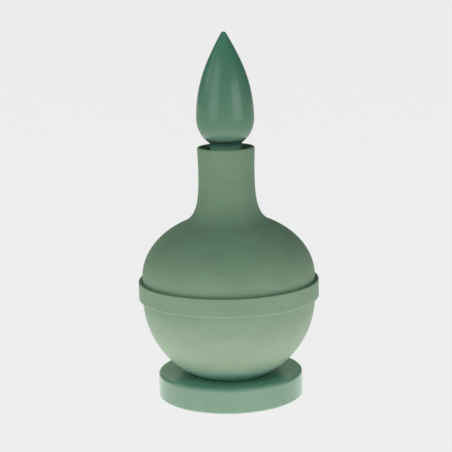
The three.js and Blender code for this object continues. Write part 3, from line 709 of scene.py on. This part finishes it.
@once
def tube_plastic(finish):
    """Thin translucent tube with faint draw lines along it."""
    draw = finish.noise(0.3 * MM, 2.0, 0.5, stretch=(1, 1, 0.03))
    hue = finish.mix(draw, (0.80, 0.84, 0.83, 1.0), (0.88, 0.91, 0.90, 1.0))
    return finish.surface(Base_Color=hue, Roughness=0.24 + draw * 0.1, IOR=1.48,
                          Transmission_Weight=0.55, Normal=finish.bump(draw, 0.008 * MM, 0.5))


@once
def soft_rubber(finish):
    """Dark soft rubber with bloom and a fine grain."""
    grain = finish.noise(0.25 * MM, 3.0, 0.6)
    bloom = finish.noise(5 * MM, 3.0, 0.6)
    hue = finish.mix(bloom.ramp(0.45, 0.75) * 0.5, (0.035, 0.038, 0.038, 1.0), (0.085, 0.09, 0.09, 1.0))
    return finish.surface(Base_Color=hue, Roughness=0.72 + grain * 0.15,
                          Normal=finish.bump(grain, 0.02 * MM, 0.6))


@once
def pressed_felt(finish):
    """Pressed wool felt: short crossing fibres in two shades."""
    first = finish.noise(0.35 * MM, 4.0, 0.7, stretch=(1, 0.15, 1))
    second = finish.noise(0.35 * MM, 4.0, 0.7, stretch=(0.15, 1, 1), shift=3.0)
    fibre = first.larger(second)
    pile = finish.noise(2.5 * MM, 3.0, 0.6, shift=8.0)
    hue = finish.mix(fibre.ramp(0.45, 0.7), (0.028, 0.055, 0.042, 1.0), (0.075, 0.125, 0.098, 1.0))
    hue = finish.mix(pile.ramp(0.5, 0.8) * 0.3, hue, (0.10, 0.15, 0.12, 1.0))
    return finish.surface(Base_Color=hue, Roughness=0.92, Sheen_Weight=0.3,
                          Normal=finish.bump(fibre + pile * 0.4, 0.12 * MM, 0.8))


# ---- Foot ----


def foot_outline(sizes):
    """Disc foot: slightly dished top with a rounded edge and a recess that clears the globe, and a
    hollow underside."""
    radius, bottom, top = extent("base_foot")
    felt_radius, _, felt_top = extent("base_felt")
    washer_radius, _, washer_top = extent("screw_washer")
    recess = felt_radius + sizes.gap
    ledge = felt_top + sizes.gap
    counterbore = washer_radius + sizes.gap
    counterbore_roof = washer_top + sizes.gap
    dish = top - sizes.foot_dish
    seat = dish - sizes.foot_seat
    _, centre = globe(sizes)
    seat_radius = math.sqrt((sizes.globe_radius + sizes.gap) ** 2 - (centre - dish) ** 2)
    hollow = seat - sizes.foot_plate
    web = sizes.foot_web
    edge = sizes.foot_edge
    return joined(
        (recess, bottom), (radius - sizes.foot_bevel, bottom), (radius, bottom + sizes.foot_bevel),
        arc((radius - edge, top - edge), edge, edge, 0, 90, 10),
        line((radius - edge, top), (seat_radius, dish), 40), (seat_radius, seat),
        (sizes.screw_hole, seat), (sizes.screw_hole, counterbore_roof), (counterbore, counterbore_roof),
        (counterbore, ledge), (counterbore + web, ledge), (counterbore + web, hollow),
        (recess - web, hollow), (recess - web, ledge), (recess, ledge), (recess, bottom))


FELT_EDGE = 0.3 * MM


class ATOMISER_OT_foot(bpy.types.Operator):
    """Makes the disc foot, its felt and its screw"""

    bl_idname = "atomiser.foot"
    bl_label = "Foot"

    def execute(self, context):
        sizes = context.scene.flask_sizes
        add_piece(turned("disc_foot", foot_outline(sizes), sizes.facets), "base_foot", polished_foot())
        radius, bottom, top = extent("base_felt")
        felt = filleted([(0, bottom, 0), (radius, bottom, FELT_EDGE), (radius, top, FELT_EDGE),
                         (0, top, 0)], closed=False)
        add_piece(turned("foot_felt", felt, sizes.facets), "base_felt", pressed_felt())
        ring("foot_washer", "screw_washer", sizes.screw_hole, bright_steel())
        frame["nodes"]["base_screw"].data.materials.clear()
        frame["nodes"]["base_screw"].data.materials.append(bright_steel())
        return {"FINISHED"}


# ---- Globe: bowl with its band, and the upper shell ----


LIP_BEVEL = 0.25 * MM  # rounding of the band's upper edge


def bowl_outline(sizes):
    """Sphere cut flat below, a raised band at its equator with a socket, and a boss for the screw."""
    band_radius, _, band_top = extent("lower_bowl")
    _, _, screw_top = extent("base_screw")
    flat, centre = globe(sizes)
    inside = sizes.globe_radius - sizes.bowl_wall
    floor = flat + sizes.bowl_floor
    start = -math.degrees(math.acos(sizes.globe_flat / sizes.globe_radius))
    floor_start = -math.degrees(math.asin((centre - floor) / inside))
    edge = sizes.band_edge
    socket = band_radius - sizes.band_lip
    hole = sizes.screw_hole
    boss = hole + sizes.boss_wall
    hole_top = screw_top + sizes.gap
    boss_top = hole_top + sizes.boss_roof
    return joined(
        (0, hole_top), (hole, hole_top), (hole, flat),
        arc((0, centre), sizes.globe_radius, sizes.globe_radius, start, 0, 72),
        arc((band_radius - edge, centre + edge), edge, edge, -90, 0, 8),
        arc((band_radius - LIP_BEVEL, band_top - LIP_BEVEL), LIP_BEVEL, LIP_BEVEL, 0, 90, 5),
        (socket, band_top), (socket, centre + sizes.band_ledge), (inside, centre + sizes.band_ledge),
        arc((0, centre), inside, inside, 0, floor_start, 56),
        (boss, floor), (boss, boss_top), (0, boss_top))


def dome_stretch(sizes, reach, rise, neck, centre):
    """Ellipse of the dome up to where a Bezier sweep leaves it along its tangent for the neck."""
    start = neck + sizes.neck_flare
    turn = math.acos(start / reach)
    level = centre + rise * math.sin(turn)
    slope = rise * math.cos(turn) / (reach * math.sin(turn))
    pull = sizes.neck_flare * sizes.dome_ease
    hold = sizes.neck_sweep * (1.0 - sizes.neck_ease)
    sweep = bezier([(start, level), (start - pull, level + pull * slope),
                    (neck, level + hold), (neck, level + sizes.neck_sweep)], 40)
    return joined(arc((0, centre), reach, rise, 0, math.degrees(turn), 56), sweep)


def shell_outline(sizes):
    """Spigot, dome, neck and rounded lip outside, and the same shape one wall inside, with a slope
    from the lip in to the bore."""
    reach, bottom, rim = extent("upper_shell")
    _, _, band_top = extent("lower_bowl")
    centre = band_top + sizes.dome_lift
    bore = sizes.neck_radius - sizes.neck_wall
    lip = sizes.rim_lip / 2.0
    lip_centre = (sizes.neck_radius + sizes.rim_flare - lip, rim - lip)
    outside = dome_stretch(sizes, reach, sizes.dome_height, sizes.neck_radius, centre)
    inside = dome_stretch(sizes, reach - sizes.shell_wall, sizes.dome_height - sizes.shell_wall,
                          bore, centre)
    return joined((reach, bottom), outside, arc(lip_centre, lip, lip, 0, 180, 16),
                  (bore, rim - sizes.rim_slope), inside[::-1],
                  (reach - sizes.shell_wall, bottom), (reach, bottom))


class ATOMISER_OT_globe(bpy.types.Operator):
    """Makes the bowl with its band and the upper shell with its neck"""

    bl_idname = "atomiser.globe"
    bl_label = "Globe"

    def execute(self, context):
        sizes = context.scene.flask_sizes
        add_piece(turned("round_bowl", bowl_outline(sizes), sizes.facets), "lower_bowl", moulded_green())
        add_piece(turned("neck_shell", shell_outline(sizes), sizes.facets), "upper_shell", moulded_green())
        return {"FINISHED"}


# ---- Cap ----


def drop_outline(sizes):
    """Drop: superellipse below its widest place, an arc and a flatter arc above it, then a cone to
    a round tip."""
    widest, bottom, _ = extent("teardrop_cap")
    sleeve, _, sleeve_top = extent("cap_liner")
    belly = bottom + sizes.cap_belly
    depth = sizes.cap_belly * np.cos(np.linspace(0.0, math.pi / 2.0, 33))
    share = 1.0 - (depth / sizes.cap_reach) ** sizes.cap_fullness
    underside = np.stack([widest * share ** (1.0 / sizes.cap_fullness), belly - depth], 1)
    lower, upper = sizes.cap_arc, sizes.cap_upper_arc
    lower_lean = math.asin(sizes.cap_arc_rise / lower)
    upper_lean = math.asin(math.sin(lower_lean) + sizes.cap_upper_rise / upper)
    lower_centre = widest - lower
    upper_centre = lower_centre + (lower - upper) * math.cos(lower_lean)
    upper_level = belly + (lower - upper) * math.sin(lower_lean)
    cone = upper_centre + upper * math.cos(upper_lean)
    apex = belly + sizes.cap_arc_rise + sizes.cap_upper_rise + cone / math.tan(upper_lean)
    tip = apex - sizes.cap_tip / math.sin(upper_lean)
    cavity = sleeve + sizes.gap
    first, last = math.degrees(lower_lean), math.degrees(upper_lean)
    return joined(
        (0, sleeve_top + sizes.gap), (cavity, sleeve_top + sizes.gap), (cavity, bottom), underside,
        arc((lower_centre, belly), lower, lower, 0, first, 40),
        arc((upper_centre, upper_level), upper, upper, first, last, 16),
        arc((0, tip), sizes.cap_tip, sizes.cap_tip, last, 90, 14))


SLEEVE_EDGE = 0.2 * MM
FLARE_WIDTH = 0.45 * MM  # how far the sleeve widens right under the cap
FLARE_HEIGHT = 0.9 * MM
FLARE_CURVE = 0.5 * MM
FLARE_EDGE = 0.1 * MM
FLARE_GAP = 0.05 * MM  # between the flare and the cap's underside


def sleeve_outline(sizes):
    """Sleeve closed by a roof inside the cap, with a small flare where it comes out of the cap."""
    radius, bottom, top = extent("cap_liner")
    bore = radius - sizes.sleeve_wall
    ceiling = top - sizes.sleeve_roof
    _, cap_bottom, _ = extent("teardrop_cap")
    root = cap_bottom - FLARE_GAP
    return filleted(
        [(0, ceiling, 0), (bore, ceiling, SLEEVE_EDGE), (bore, bottom, SLEEVE_EDGE),
         (radius, bottom, SLEEVE_EDGE), (radius, root - FLARE_HEIGHT, FLARE_CURVE),
         (radius + FLARE_WIDTH, root, FLARE_EDGE), (radius, root, 0),
         (radius, top, SLEEVE_EDGE), (0, top, 0)], closed=False)


class ATOMISER_OT_cap(bpy.types.Operator):
    """Makes the drop and the sleeve inside it"""

    bl_idname = "atomiser.cap"
    bl_label = "Cap"

    def execute(self, context):
        sizes = context.scene.flask_sizes
        add_piece(turned("drop_cap", drop_outline(sizes), sizes.facets), "teardrop_cap", polished_cap())
        sleeve = turned("cap_sleeve", sleeve_outline(sizes), sizes.small_facets)
        add_piece(sleeve, "cap_liner", polished_sleeve())
        return {"FINISHED"}


# ---- Glass bottle and its cradle ----


def bottle_stretch(pump, inset, radius, bottom, neck_foot):
    """Heel arc and shoulder arc of the bottle, moved inwards by inset."""
    heel = pump.glass_heel - inset
    shoulder = pump.glass_shoulder - inset
    turn = radius - pump.glass_shoulder
    top_angle = 90.0
    if inset == 0.0:
        top_angle = math.degrees(math.acos((pump.glass_neck + pump.glass_fillet - turn) / shoulder))
    return joined(
        arc((radius - inset - heel, bottom + inset + heel), heel, heel, -90, 0, 14),
        arc((turn, neck_foot - pump.glass_shoulder), shoulder, shoulder, 0, top_angle, 20))


THREAD_START = 4.5 * MM  # above the neck's foot
THREAD_END = 1.2 * MM  # below the lip
THREAD_FADE = 1.0 * MM
THREAD_WIDTH = 0.45 * MM  # where the ridge has sunk to 37 percent
LIP_OUTSIDE, LIP_INSIDE = 0.5 * MM, 0.4 * MM  # rounding of the glass lip
CRADLE_BORE = 9.0 * MM
BOTTLE_FACETS, CRADLE_FACETS = 144, 128


def with_thread(pump, low, high, radius):
    """Lifts a helical ridge out of the neck: a bell curve of the distance to z = pitch a / turn."""
    def shape(points):
        x, y, z, r = polar(points)
        around = np.arctan2(y, x) / TURN
        from_ridge = (z - low) / pump.thread_pitch - around
        from_ridge = np.abs(from_ridge - np.round(from_ridge)) * pump.thread_pitch
        ridge = pump.thread_height * np.exp(-(from_ridge / THREAD_WIDTH) ** 2)
        on_wall = np.abs(r - radius) < ON_WALL
        return grown(x, y, z, r, ridge * faded(z, low, high, THREAD_FADE) * on_wall)
    return shape


def cradle_outline(sizes, pump):
    """Ring that fits the bowl's inside below and cups the bottle's heel above."""
    radius, glass_bottom, _ = extent("reservoir")
    _, bottom, top = extent("vial_cradle")
    cup = pump.glass_heel + sizes.gap
    heel = (radius - pump.glass_heel, glass_bottom + pump.glass_heel)
    cup_turn = math.degrees(math.asin((heel[1] - top) / cup))
    inside = sizes.globe_radius - sizes.bowl_wall - sizes.gap
    _, centre = globe(sizes)
    low = -math.degrees(math.asin((centre - bottom) / inside))
    high = -math.degrees(math.asin((centre - top) / inside))
    return joined((CRADLE_BORE, bottom), arc((0, centre), inside, inside, low, high, 20),
                  arc(heel, cup, cup, -cup_turn, -90, 12), (CRADLE_BORE, glass_bottom - sizes.gap),
                  (CRADLE_BORE, bottom))


class ATOMISER_OT_bottle(bpy.types.Operator):
    """Makes the glass bottle with its threaded neck, and the cradle that holds it"""

    bl_idname = "atomiser.bottle"
    bl_label = "Bottle"

    def execute(self, context):
        sizes = context.scene.flask_sizes
        pump = context.scene.pump_sizes
        radius, bottom, lip = extent("reservoir")
        neck_foot = lip - pump.glass_neck_length
        neck_run = line((pump.glass_neck, neck_foot + pump.glass_fillet),
                        (pump.glass_neck, lip - LIP_OUTSIDE), 96)
        outline = joined(
            (0, bottom), bottle_stretch(pump, 0.0, radius, bottom, neck_foot), neck_run,
            corner((pump.glass_neck, bottom), (pump.glass_neck, lip), (0, lip), LIP_OUTSIDE),
            corner((pump.glass_neck, lip), (pump.glass_bore, lip), (pump.glass_bore, bottom), LIP_INSIDE),
            (pump.glass_bore, neck_foot - pump.glass_wall),
            bottle_stretch(pump, pump.glass_wall, radius, bottom, neck_foot)[::-1],
            (0, bottom + pump.glass_wall))
        thread = with_thread(pump, neck_foot + THREAD_START, lip - THREAD_END, pump.glass_neck)
        glass = turned("glass_bottle", outline, BOTTLE_FACETS, shape=thread)
        add_piece(glass, "reservoir", clear_glass())
        cradle = turned("bottle_cradle", cradle_outline(sizes, pump), CRADLE_FACETS)
        add_piece(cradle, "vial_cradle", soft_rubber())
        return {"FINISHED"}


# ---- Pump ----


COLLAR_BEVEL, COLLAR_SHOULDER = 0.2 * MM, 0.6 * MM
RIB_START, RIB_END = 0.6 * MM, 2.0 * MM  # above the collar's bottom and below its top
RIB_FADE = 0.5 * MM
COLLAR_FACETS = 480  # eight for each rib


def with_ribs(pump, low, high, radius):
    """Sinks upright grooves into the collar: half of one minus the cosine of the rib angle."""
    def shape(points):
        x, y, z, r = polar(points)
        wave = (1.0 - np.cos(pump.ribs * np.arctan2(y, x))) / 2.0
        on_wall = np.abs(r - radius) < ON_WALL
        return grown(x, y, z, r, -pump.rib_depth * wave * faded(z, low, high, RIB_FADE) * on_wall)
    return shape


def collar_outline(sizes, pump):
    """Screw collar: skirt, rounded shoulder, and a flat top with a hole for the turret."""
    radius, bottom, top = extent("pump_closure")
    hole = pump.turret_radius + sizes.gap
    roof = top - (radius - pump.collar_bore)
    return joined(
        (pump.collar_bore, bottom), (radius - COLLAR_BEVEL, bottom), (radius, bottom + COLLAR_BEVEL),
        line((radius, bottom + RIB_START), (radius, top - RIB_END), 30),
        arc((radius - COLLAR_SHOULDER, top - COLLAR_SHOULDER), COLLAR_SHOULDER, COLLAR_SHOULDER, 0, 90, 8),
        (hole, top), (hole, roof), (pump.collar_bore, roof), (pump.collar_bore, bottom))


HOUSING_FLANGE = 1.2 * MM
TUBE_STOP = 1.4 * MM  # thickness of the plate over the dip tube
VALVE_SEAT, VALVE_CONE = 0.8 * MM, 0.4 * MM  # radius of the hole in it, and height of its cone
BALL_CHAMBER = 1.9 * MM
HOUSING_EDGE = 0.15 * MM


def housing_outline(sizes, pump):
    """Pump cylinder: flange, chamber, ball chamber, valve seat and the socket of the dip tube."""
    flange, bottom, top = extent("pump_housing")
    tube_radius, _, tube_top = extent("dip_tube")
    ledge = extent("return_spring")[1] - sizes.gap
    socket = tube_radius + sizes.gap
    outside = pump.chamber_radius + pump.housing_wall
    plate_bottom = tube_top + sizes.gap
    plate_top = plate_bottom + TUBE_STOP
    flange_bottom = top - HOUSING_FLANGE
    edge = HOUSING_EDGE
    return filleted([
        (socket, bottom, edge), (socket + pump.housing_wall, bottom, edge),
        (socket + pump.housing_wall, plate_top, edge), (outside, ledge, edge),
        (outside, flange_bottom, edge), (flange, flange_bottom, edge), (flange, top, edge),
        (pump.chamber_radius, top, edge), (pump.chamber_radius, ledge, 0),
        (BALL_CHAMBER, ledge, edge), (BALL_CHAMBER, plate_top + VALVE_CONE, 0),
        (VALVE_SEAT, plate_top, 0), (VALVE_SEAT, plate_bottom, 0), (socket, plate_bottom, 0)])


TURRET_ROOF, TURRET_FLANGE = 1.5 * MM, 1.0 * MM
TURRET_FILLET, TURRET_RIM, TURRET_EDGE = 0.3 * MM, 0.4 * MM, 0.2 * MM


def turret_outline(sizes, pump):
    """Stem guide: a flange under the collar and a roofed tube that the cap's sleeve grips."""
    flange, bottom, top = extent("pump_turret")
    inside = pump.turret_radius - pump.turret_wall
    hole = pump.stem_radius + sizes.gap
    roof = top - TURRET_ROOF
    flange_top = bottom + TURRET_FLANGE
    edge = TURRET_EDGE
    return filleted([
        (inside, bottom, edge), (flange, bottom, edge), (flange, flange_top, edge),
        (pump.turret_radius, flange_top, TURRET_FILLET), (pump.turret_radius, top, TURRET_RIM),
        (hole, top, edge), (hole, roof, 0), (inside, roof, edge)])


PISTON_WAIST = 0.4 * MM  # depth of the waist
PISTON_EDGE = 0.1 * MM
STEM_FIT = 0.1 * MM  # between the stem and what sits on it


def piston_outline(pump):
    """Piston with two sealing lips and a waist between them."""
    radius, bottom, top = extent("piston")
    step = (top - bottom) / 8.0
    waist = radius - PISTON_WAIST
    bore = pump.stem_radius + STEM_FIT
    edge = PISTON_EDGE
    return filleted([
        (bore, bottom, edge), (radius, bottom, edge), (radius, bottom + 2 * step, edge),
        (waist, bottom + 3 * step, edge), (waist, top - 3 * step, edge),
        (radius, top - 2 * step, edge), (radius, top, edge), (bore, top, edge)])


SPRING_CLOSING = 0.35  # how much the end turns are drawn together, from 0 to 1
BALL_FACETS = 48


def spring_mesh(name, pump, steps=260, sides=12):
    """A round wire carried along a helix whose rise slows at both ends."""
    _, bottom, top = extent("return_spring")
    share = np.linspace(0.0, 1.0, steps + 1)
    turn = TURN * pump.spring_turns * share
    ease = share - np.sin(TURN * share) / TURN
    rise = SPRING_CLOSING * ease + (1.0 - SPRING_CLOSING) * share
    climb = top - bottom - 2 * pump.wire_radius
    middle = np.stack([pump.spring_radius * np.cos(turn), pump.spring_radius * np.sin(turn),
                       bottom + pump.wire_radius + climb * rise], 1)
    along = np.gradient(middle, axis=0)
    along /= np.linalg.norm(along, axis=1)[:, None]
    out = np.stack([np.cos(turn), np.sin(turn), np.zeros_like(turn)], 1)
    up = np.cross(out, along)
    a = np.arange(sides) * TURN / sides
    points = (middle[:, None, :] + pump.wire_radius * (
        np.cos(a)[None, :, None] * out[:, None, :] + np.sin(a)[None, :, None] * up[:, None, :]))
    return grid_mesh(name, points, False, middle[0], middle[-1])


class ATOMISER_OT_pump(bpy.types.Operator):
    """Makes the pump under the button: collar, housing, turret, stem, piston, spring and seals"""

    bl_idname = "atomiser.pump"
    bl_label = "Pump"

    def execute(self, context):
        sizes = context.scene.flask_sizes
        pump = context.scene.pump_sizes
        facets = sizes.small_facets
        plastic = natural_plastic()
        radius, bottom, top = extent("pump_closure")
        ribs = with_ribs(pump, bottom + RIB_START, top - RIB_END, radius)
        collar = turned("screw_collar", collar_outline(sizes, pump), COLLAR_FACETS, shape=ribs)
        add_piece(collar, "pump_closure", satin_aluminium())
        add_piece(turned("pump_cylinder", housing_outline(sizes, pump), facets), "pump_housing", plastic)
        add_piece(turned("stem_guide", turret_outline(sizes, pump), facets), "pump_turret", plastic)
        add_piece(turned("pump_piston", piston_outline(pump), facets), "piston", plastic)
        coil = add_piece(spring_mesh("spring_coil", pump), "return_spring", bright_steel())
        _, bottom, top = extent("return_spring")
        pressed = 1.0 - travel("actuator_press") / (top - bottom)
        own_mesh(coil)
        ring("hollow_stem", "pump_stem", pump.stem_bore, plastic)
        ring("stem_washer", "stem_seal", pump.stem_radius + STEM_FIT, soft_rubber())
        ring("lip_washer", "neck_gasket", pump.glass_bore + sizes.gap, soft_rubber())
        ring("feed_tube", "dip_tube", pump.tube_bore, tube_plastic())
        radius, bottom, top = extent("inlet_ball")
        ball = arc((0, (bottom + top) / 2), radius, radius, -90, 90, 24)
        add_piece(turned("valve_ball", ball, BALL_FACETS), "inlet_ball", bright_steel())
        return {"FINISHED"}


# ---- Button and nozzle ----


BUTTON_BOSS, BUTTON_WALL = 0.7 * MM, 1.0 * MM
BUTTON_HOLLOW = 2.6 * MM  # height of the hollow round the boss
BUTTON_EDGE, BUTTON_SKIRT = 0.8 * MM, 0.2 * MM  # rounding of its top and bottom edges
BUTTON_DISH = 0.4 * MM  # depth of the finger's hollow on top
RECESS_GAP, RECESS_DEPTH, RECESS_SLOPE = 0.15 * MM, 0.35 * MM, 0.12 * MM
ORIFICE, MOUTH, MOUTH_DEPTH = 0.3 * MM, 0.6 * MM, 0.3 * MM
NOZZLE_BACK, NOZZLE_FRONT, MOUTH_EDGE = 0.1 * MM, 0.15 * MM, 0.05 * MM
BUTTON_FACETS, NOZZLE_FACETS = 288, 64


def with_nozzle_recess(level, radius, wall):
    """Sinks a round recess of that radius into the front of the button's outer wall."""
    def shape(points):
        x, y, z, r = polar(points)
        away = np.hypot(x, z - level)
        sink = RECESS_DEPTH * np.clip((radius + RECESS_SLOPE - away) / RECESS_SLOPE, 0, 1) ** 0.5
        sink = sink * (y < 0) * (r > wall - ON_WALL)
        return np.stack([x, y + sink, z], -1)
    return shape


class ATOMISER_OT_button(bpy.types.Operator):
    """Makes the spray button and its nozzle"""

    bl_idname = "atomiser.button"
    bl_label = "Button"

    def execute(self, context):
        sizes = context.scene.flask_sizes
        pump = context.scene.pump_sizes
        radius, bottom, top = extent("actuator_button")
        low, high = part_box("nozzle_insert")
        level = (low.z + high.z) / 2
        _, _, stem_top = extent("pump_stem")
        socket = pump.stem_radius + sizes.gap
        boss = socket + BUTTON_BOSS
        skirt = radius - BUTTON_WALL
        hollow = bottom + BUTTON_HOLLOW
        edge = BUTTON_EDGE
        outline = joined(
            (0, stem_top + sizes.gap), (socket, stem_top + sizes.gap), (socket, bottom), (boss, bottom),
            (boss, hollow), (skirt, hollow), (skirt, bottom),
            corner((skirt, bottom), (radius, bottom), (radius, top), BUTTON_SKIRT),
            line((radius, bottom + BUTTON_SKIRT), (radius, top - edge), 120),
            arc((radius - edge, top - edge), edge, edge, 0, 90, 10),
            arc((0, top), radius - 2 * edge, BUTTON_DISH, 0, -90, 16))
        recess = with_nozzle_recess(level, pump.nozzle_radius + RECESS_GAP, radius)
        button = turned("spray_button", outline, BUTTON_FACETS, shape=recess)
        add_piece(button, "actuator_button", natural_plastic())

        length_out = high.y - low.y
        profile = filleted([
            (ORIFICE, 0, 0), (pump.nozzle_radius, 0, NOZZLE_BACK),
            (pump.nozzle_radius, length_out, NOZZLE_FRONT), (MOUTH, length_out, MOUTH_EDGE),
            (ORIFICE, length_out - MOUTH_DEPTH, 0)])
        place = Matrix.Translation((0, high.y, level)) @ Matrix.Rotation(math.pi / 2, 4, "X")
        nozzle = turned("spray_nozzle", profile, NOZZLE_FACETS, place=place)
        add_piece(nozzle, "nozzle_insert", bright_steel())
        return {"FINISHED"}


# ---- Stage ----


def sight(finish):
    """Two masks: rays that show the backdrop as it is, straight or through glass, and gloss rays."""
    camera = finish.add("LightPath", out="Is Camera Ray")
    clear = finish.add("LightPath", out="Is Transmission Ray")
    straight = camera.larger(clear)
    gloss = finish.add("LightPath", out="Is Glossy Ray") * (1.0 - straight)
    return straight, gloss


def floor_finish(stage):
    """Pale sheet: one even tone where it is seen, a bright patch under the object that fades
    outwards as a light and in polished surfaces, and a faint shadow."""
    finish = Finish("pale_floor")
    straight, gloss = sight(finish)
    radius, _ = finish.radius_height()
    patch = radius.ramp(stage.patch_radius * 0.6, stage.patch_radius * 1.4, 1.0, 0.0)
    mirrored = patch * (stage.patch_gloss - stage.far_gloss) + stage.far_gloss
    even = straight * stage.background + gloss * mirrored
    shade = finish.mix(straight, (0.8, 0.8, 0.8, 1.0), (0.08, 0.08, 0.08, 1.0))
    paper = finish.add("BsdfDiffuse", None, {"Color": shade})
    seen = finish.add("Emission", None, {"Strength": even})
    glow = finish.add("Emission", None, {
        "Color": tone(stage.warm),
        "Strength": patch * stage.patch_light * (1.0 - straight) * (1.0 - gloss)})
    light = finish.add("AddShader", None, {0: seen, 1: glow})
    sheet = finish.add("AddShader", None, {0: paper, 1: light})
    finish.add("OutputMaterial", None, {"Surface": sheet})
    return finish.material


FLOOR_HALF = 6.0  # half the side of the floor, in metres
SENSOR_WIDTH = 36.0
# A ray's direction along an axis is the cosine of its angle to it. These are such cosines.
BACKDROP = (0.80, 0.93)  # straight back: where the backdrop fades in
ROUND = (-0.5, 0.3)  # straight back: from the brighter front to the dark sides
HALVES = (-0.05, 0.05)  # to the right: from the backdrop's left half to its right half


def pale_world(stage):
    """Pale where it is seen and dim as a light. In polished surfaces it is darkest at the sides, and
    the backdrop's left half is brighter than its right."""
    finish = Finish("studio", bpy.data.worlds)
    straight, gloss = sight(finish)
    direction = finish.add("TexCoord", out="Generated")
    away = finish.add("SeparateXYZ", None, {0: direction}, out="Y")
    behind = away.ramp(*BACKDROP)
    hue = finish.mix(straight.larger(gloss), tone(stage.cool), WHITE)
    hue = finish.mix(gloss * behind, hue, tone(stage.back_tint))
    left = finish.add("SeparateXYZ", None, {0: direction}, out="X").ramp(*HALVES, 1.0, 0.0)
    back = left * (stage.back_left - stage.back_right) + stage.back_right
    around = away.ramp(*ROUND, stage.far_gloss, stage.side_gloss)
    mirrored = behind * (back - around) + around
    strength = (straight * (stage.background - stage.sky)
                + gloss * (mirrored - stage.sky) + stage.sky)
    light = finish.add("Background", None, {"Color": hue, "Strength": strength})
    finish.add("OutputWorld", None, {"Surface": light})
    return finish.material


def softbox(name, brightness, turn, level, width, height):
    """A rectangular lamp that faces the flask from turn degrees round from the front, with its other
    sizes in metres. A face of even brightness gives pi times brightness times area in watts."""
    stage = bpy.context.scene.stage_settings
    lamp = bpy.data.lights.new(name, "AREA")
    lamp.shape = "RECTANGLE"
    lamp.size, lamp.size_y = width, height
    lamp.energy = brightness * math.pi * width * height
    lamp.color = stage.cool
    box = bpy.data.objects.new(name, lamp)
    bpy.context.scene.collection.objects.link(box)
    turn = math.radians(turn)
    place = Vector((stage.lamp_distance * math.sin(turn), -stage.lamp_distance * math.cos(turn), level))
    aim = Vector((0.0, 0.0, stage.lamp_aim)) - place
    box.matrix_world = Matrix.Translation(place) @ aim.to_track_quat("-Z", "Y").to_matrix().to_4x4()
    box.visible_camera = False


class ATOMISER_OT_stage(bpy.types.Operator):
    """Makes the floor, lamps, world and camera"""

    bl_idname = "atomiser.stage"
    bl_label = "Stage"

    def execute(self, context):
        scene = context.scene
        stage = scene.stage_settings
        floor = bpy.data.meshes.new("floor")
        half = FLOOR_HALF
        floor.from_pydata([(-half, -half, 0), (half, -half, 0), (half, half, 0), (-half, half, 0)],
                          [], [(0, 1, 2, 3)])
        floor.materials.append(floor_finish(stage))
        ground = bpy.data.objects.new("floor", floor)
        scene.collection.objects.link(ground)
        scene.world = pale_world(stage)
        softbox("left_softbox", stage.left_box, turn=-47, level=0.36, width=0.60, height=0.72)
        softbox("right_softbox", stage.right_box, turn=50, level=0.23, width=0.56, height=0.44)
        softbox("side_softbox", stage.side_box, turn=-92, level=0.45, width=0.40, height=0.34)

        lens = bpy.data.cameras.new("camera")
        lens.lens = stage.camera_lens
        lens.sensor_width = SENSOR_WIDTH
        camera = bpy.data.objects.new("camera", lens)
        scene.collection.objects.link(camera)
        camera.matrix_world = (
            Matrix.Translation((stage.camera_side, -stage.camera_distance, stage.camera_height))
            @ Matrix.Rotation(math.pi / 2 - stage.camera_pitch, 4, "X")
            @ Matrix.Rotation(-stage.camera_roll, 4, "Z"))
        scene.camera = camera
        scene.view_settings.view_transform = "Standard"
        return {"FINISHED"}


# ---- Panel and registration ----

OPERATORS = (ATOMISER_OT_foot, ATOMISER_OT_globe, ATOMISER_OT_cap, ATOMISER_OT_bottle,
             ATOMISER_OT_pump, ATOMISER_OT_button, ATOMISER_OT_stage)
GROUPS = {"flask_sizes": FlaskSizes, "pump_sizes": PumpSizes,
          "flask_finishes": FlaskFinishes, "stage_settings": StageSettings}


class ATOMISER_PT_panel(bpy.types.Panel):
    """Lists the pieces of the atomiser and their settings"""

    bl_idname = "ATOMISER_PT_panel"
    bl_label = "Atomiser"
    bl_space_type = "VIEW_3D"
    bl_region_type = "UI"
    bl_category = "Atomiser"

    def draw(self, context):
        for operator in OPERATORS:
            self.layout.operator(operator.bl_idname)
        for name in GROUPS:
            settings = getattr(context.scene, name)
            box = self.layout.box()
            box.label(text=name.replace("_", " ").capitalize())
            for setting in settings.__annotations__:
                box.prop(settings, setting)


CLASSES = (*GROUPS.values(), *OPERATORS, ATOMISER_PT_panel)


def register():
    for cls in CLASSES:
        bpy.utils.register_class(cls)
    for name, group in GROUPS.items():
        setattr(bpy.types.Scene, name, PointerProperty(type=group))


def unregister():
    for name in GROUPS:
        delattr(bpy.types.Scene, name)
    for cls in reversed(CLASSES):
        bpy.utils.unregister_class(cls)


def main():
    """Registers the classes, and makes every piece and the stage."""
    register()
    bpy.ops.atomiser.foot()
    bpy.ops.atomiser.globe()
    bpy.ops.atomiser.cap()
    bpy.ops.atomiser.bottle()
    bpy.ops.atomiser.pump()
    bpy.ops.atomiser.button()
    bpy.ops.atomiser.stage()


if __name__ == "__main__":
    main()
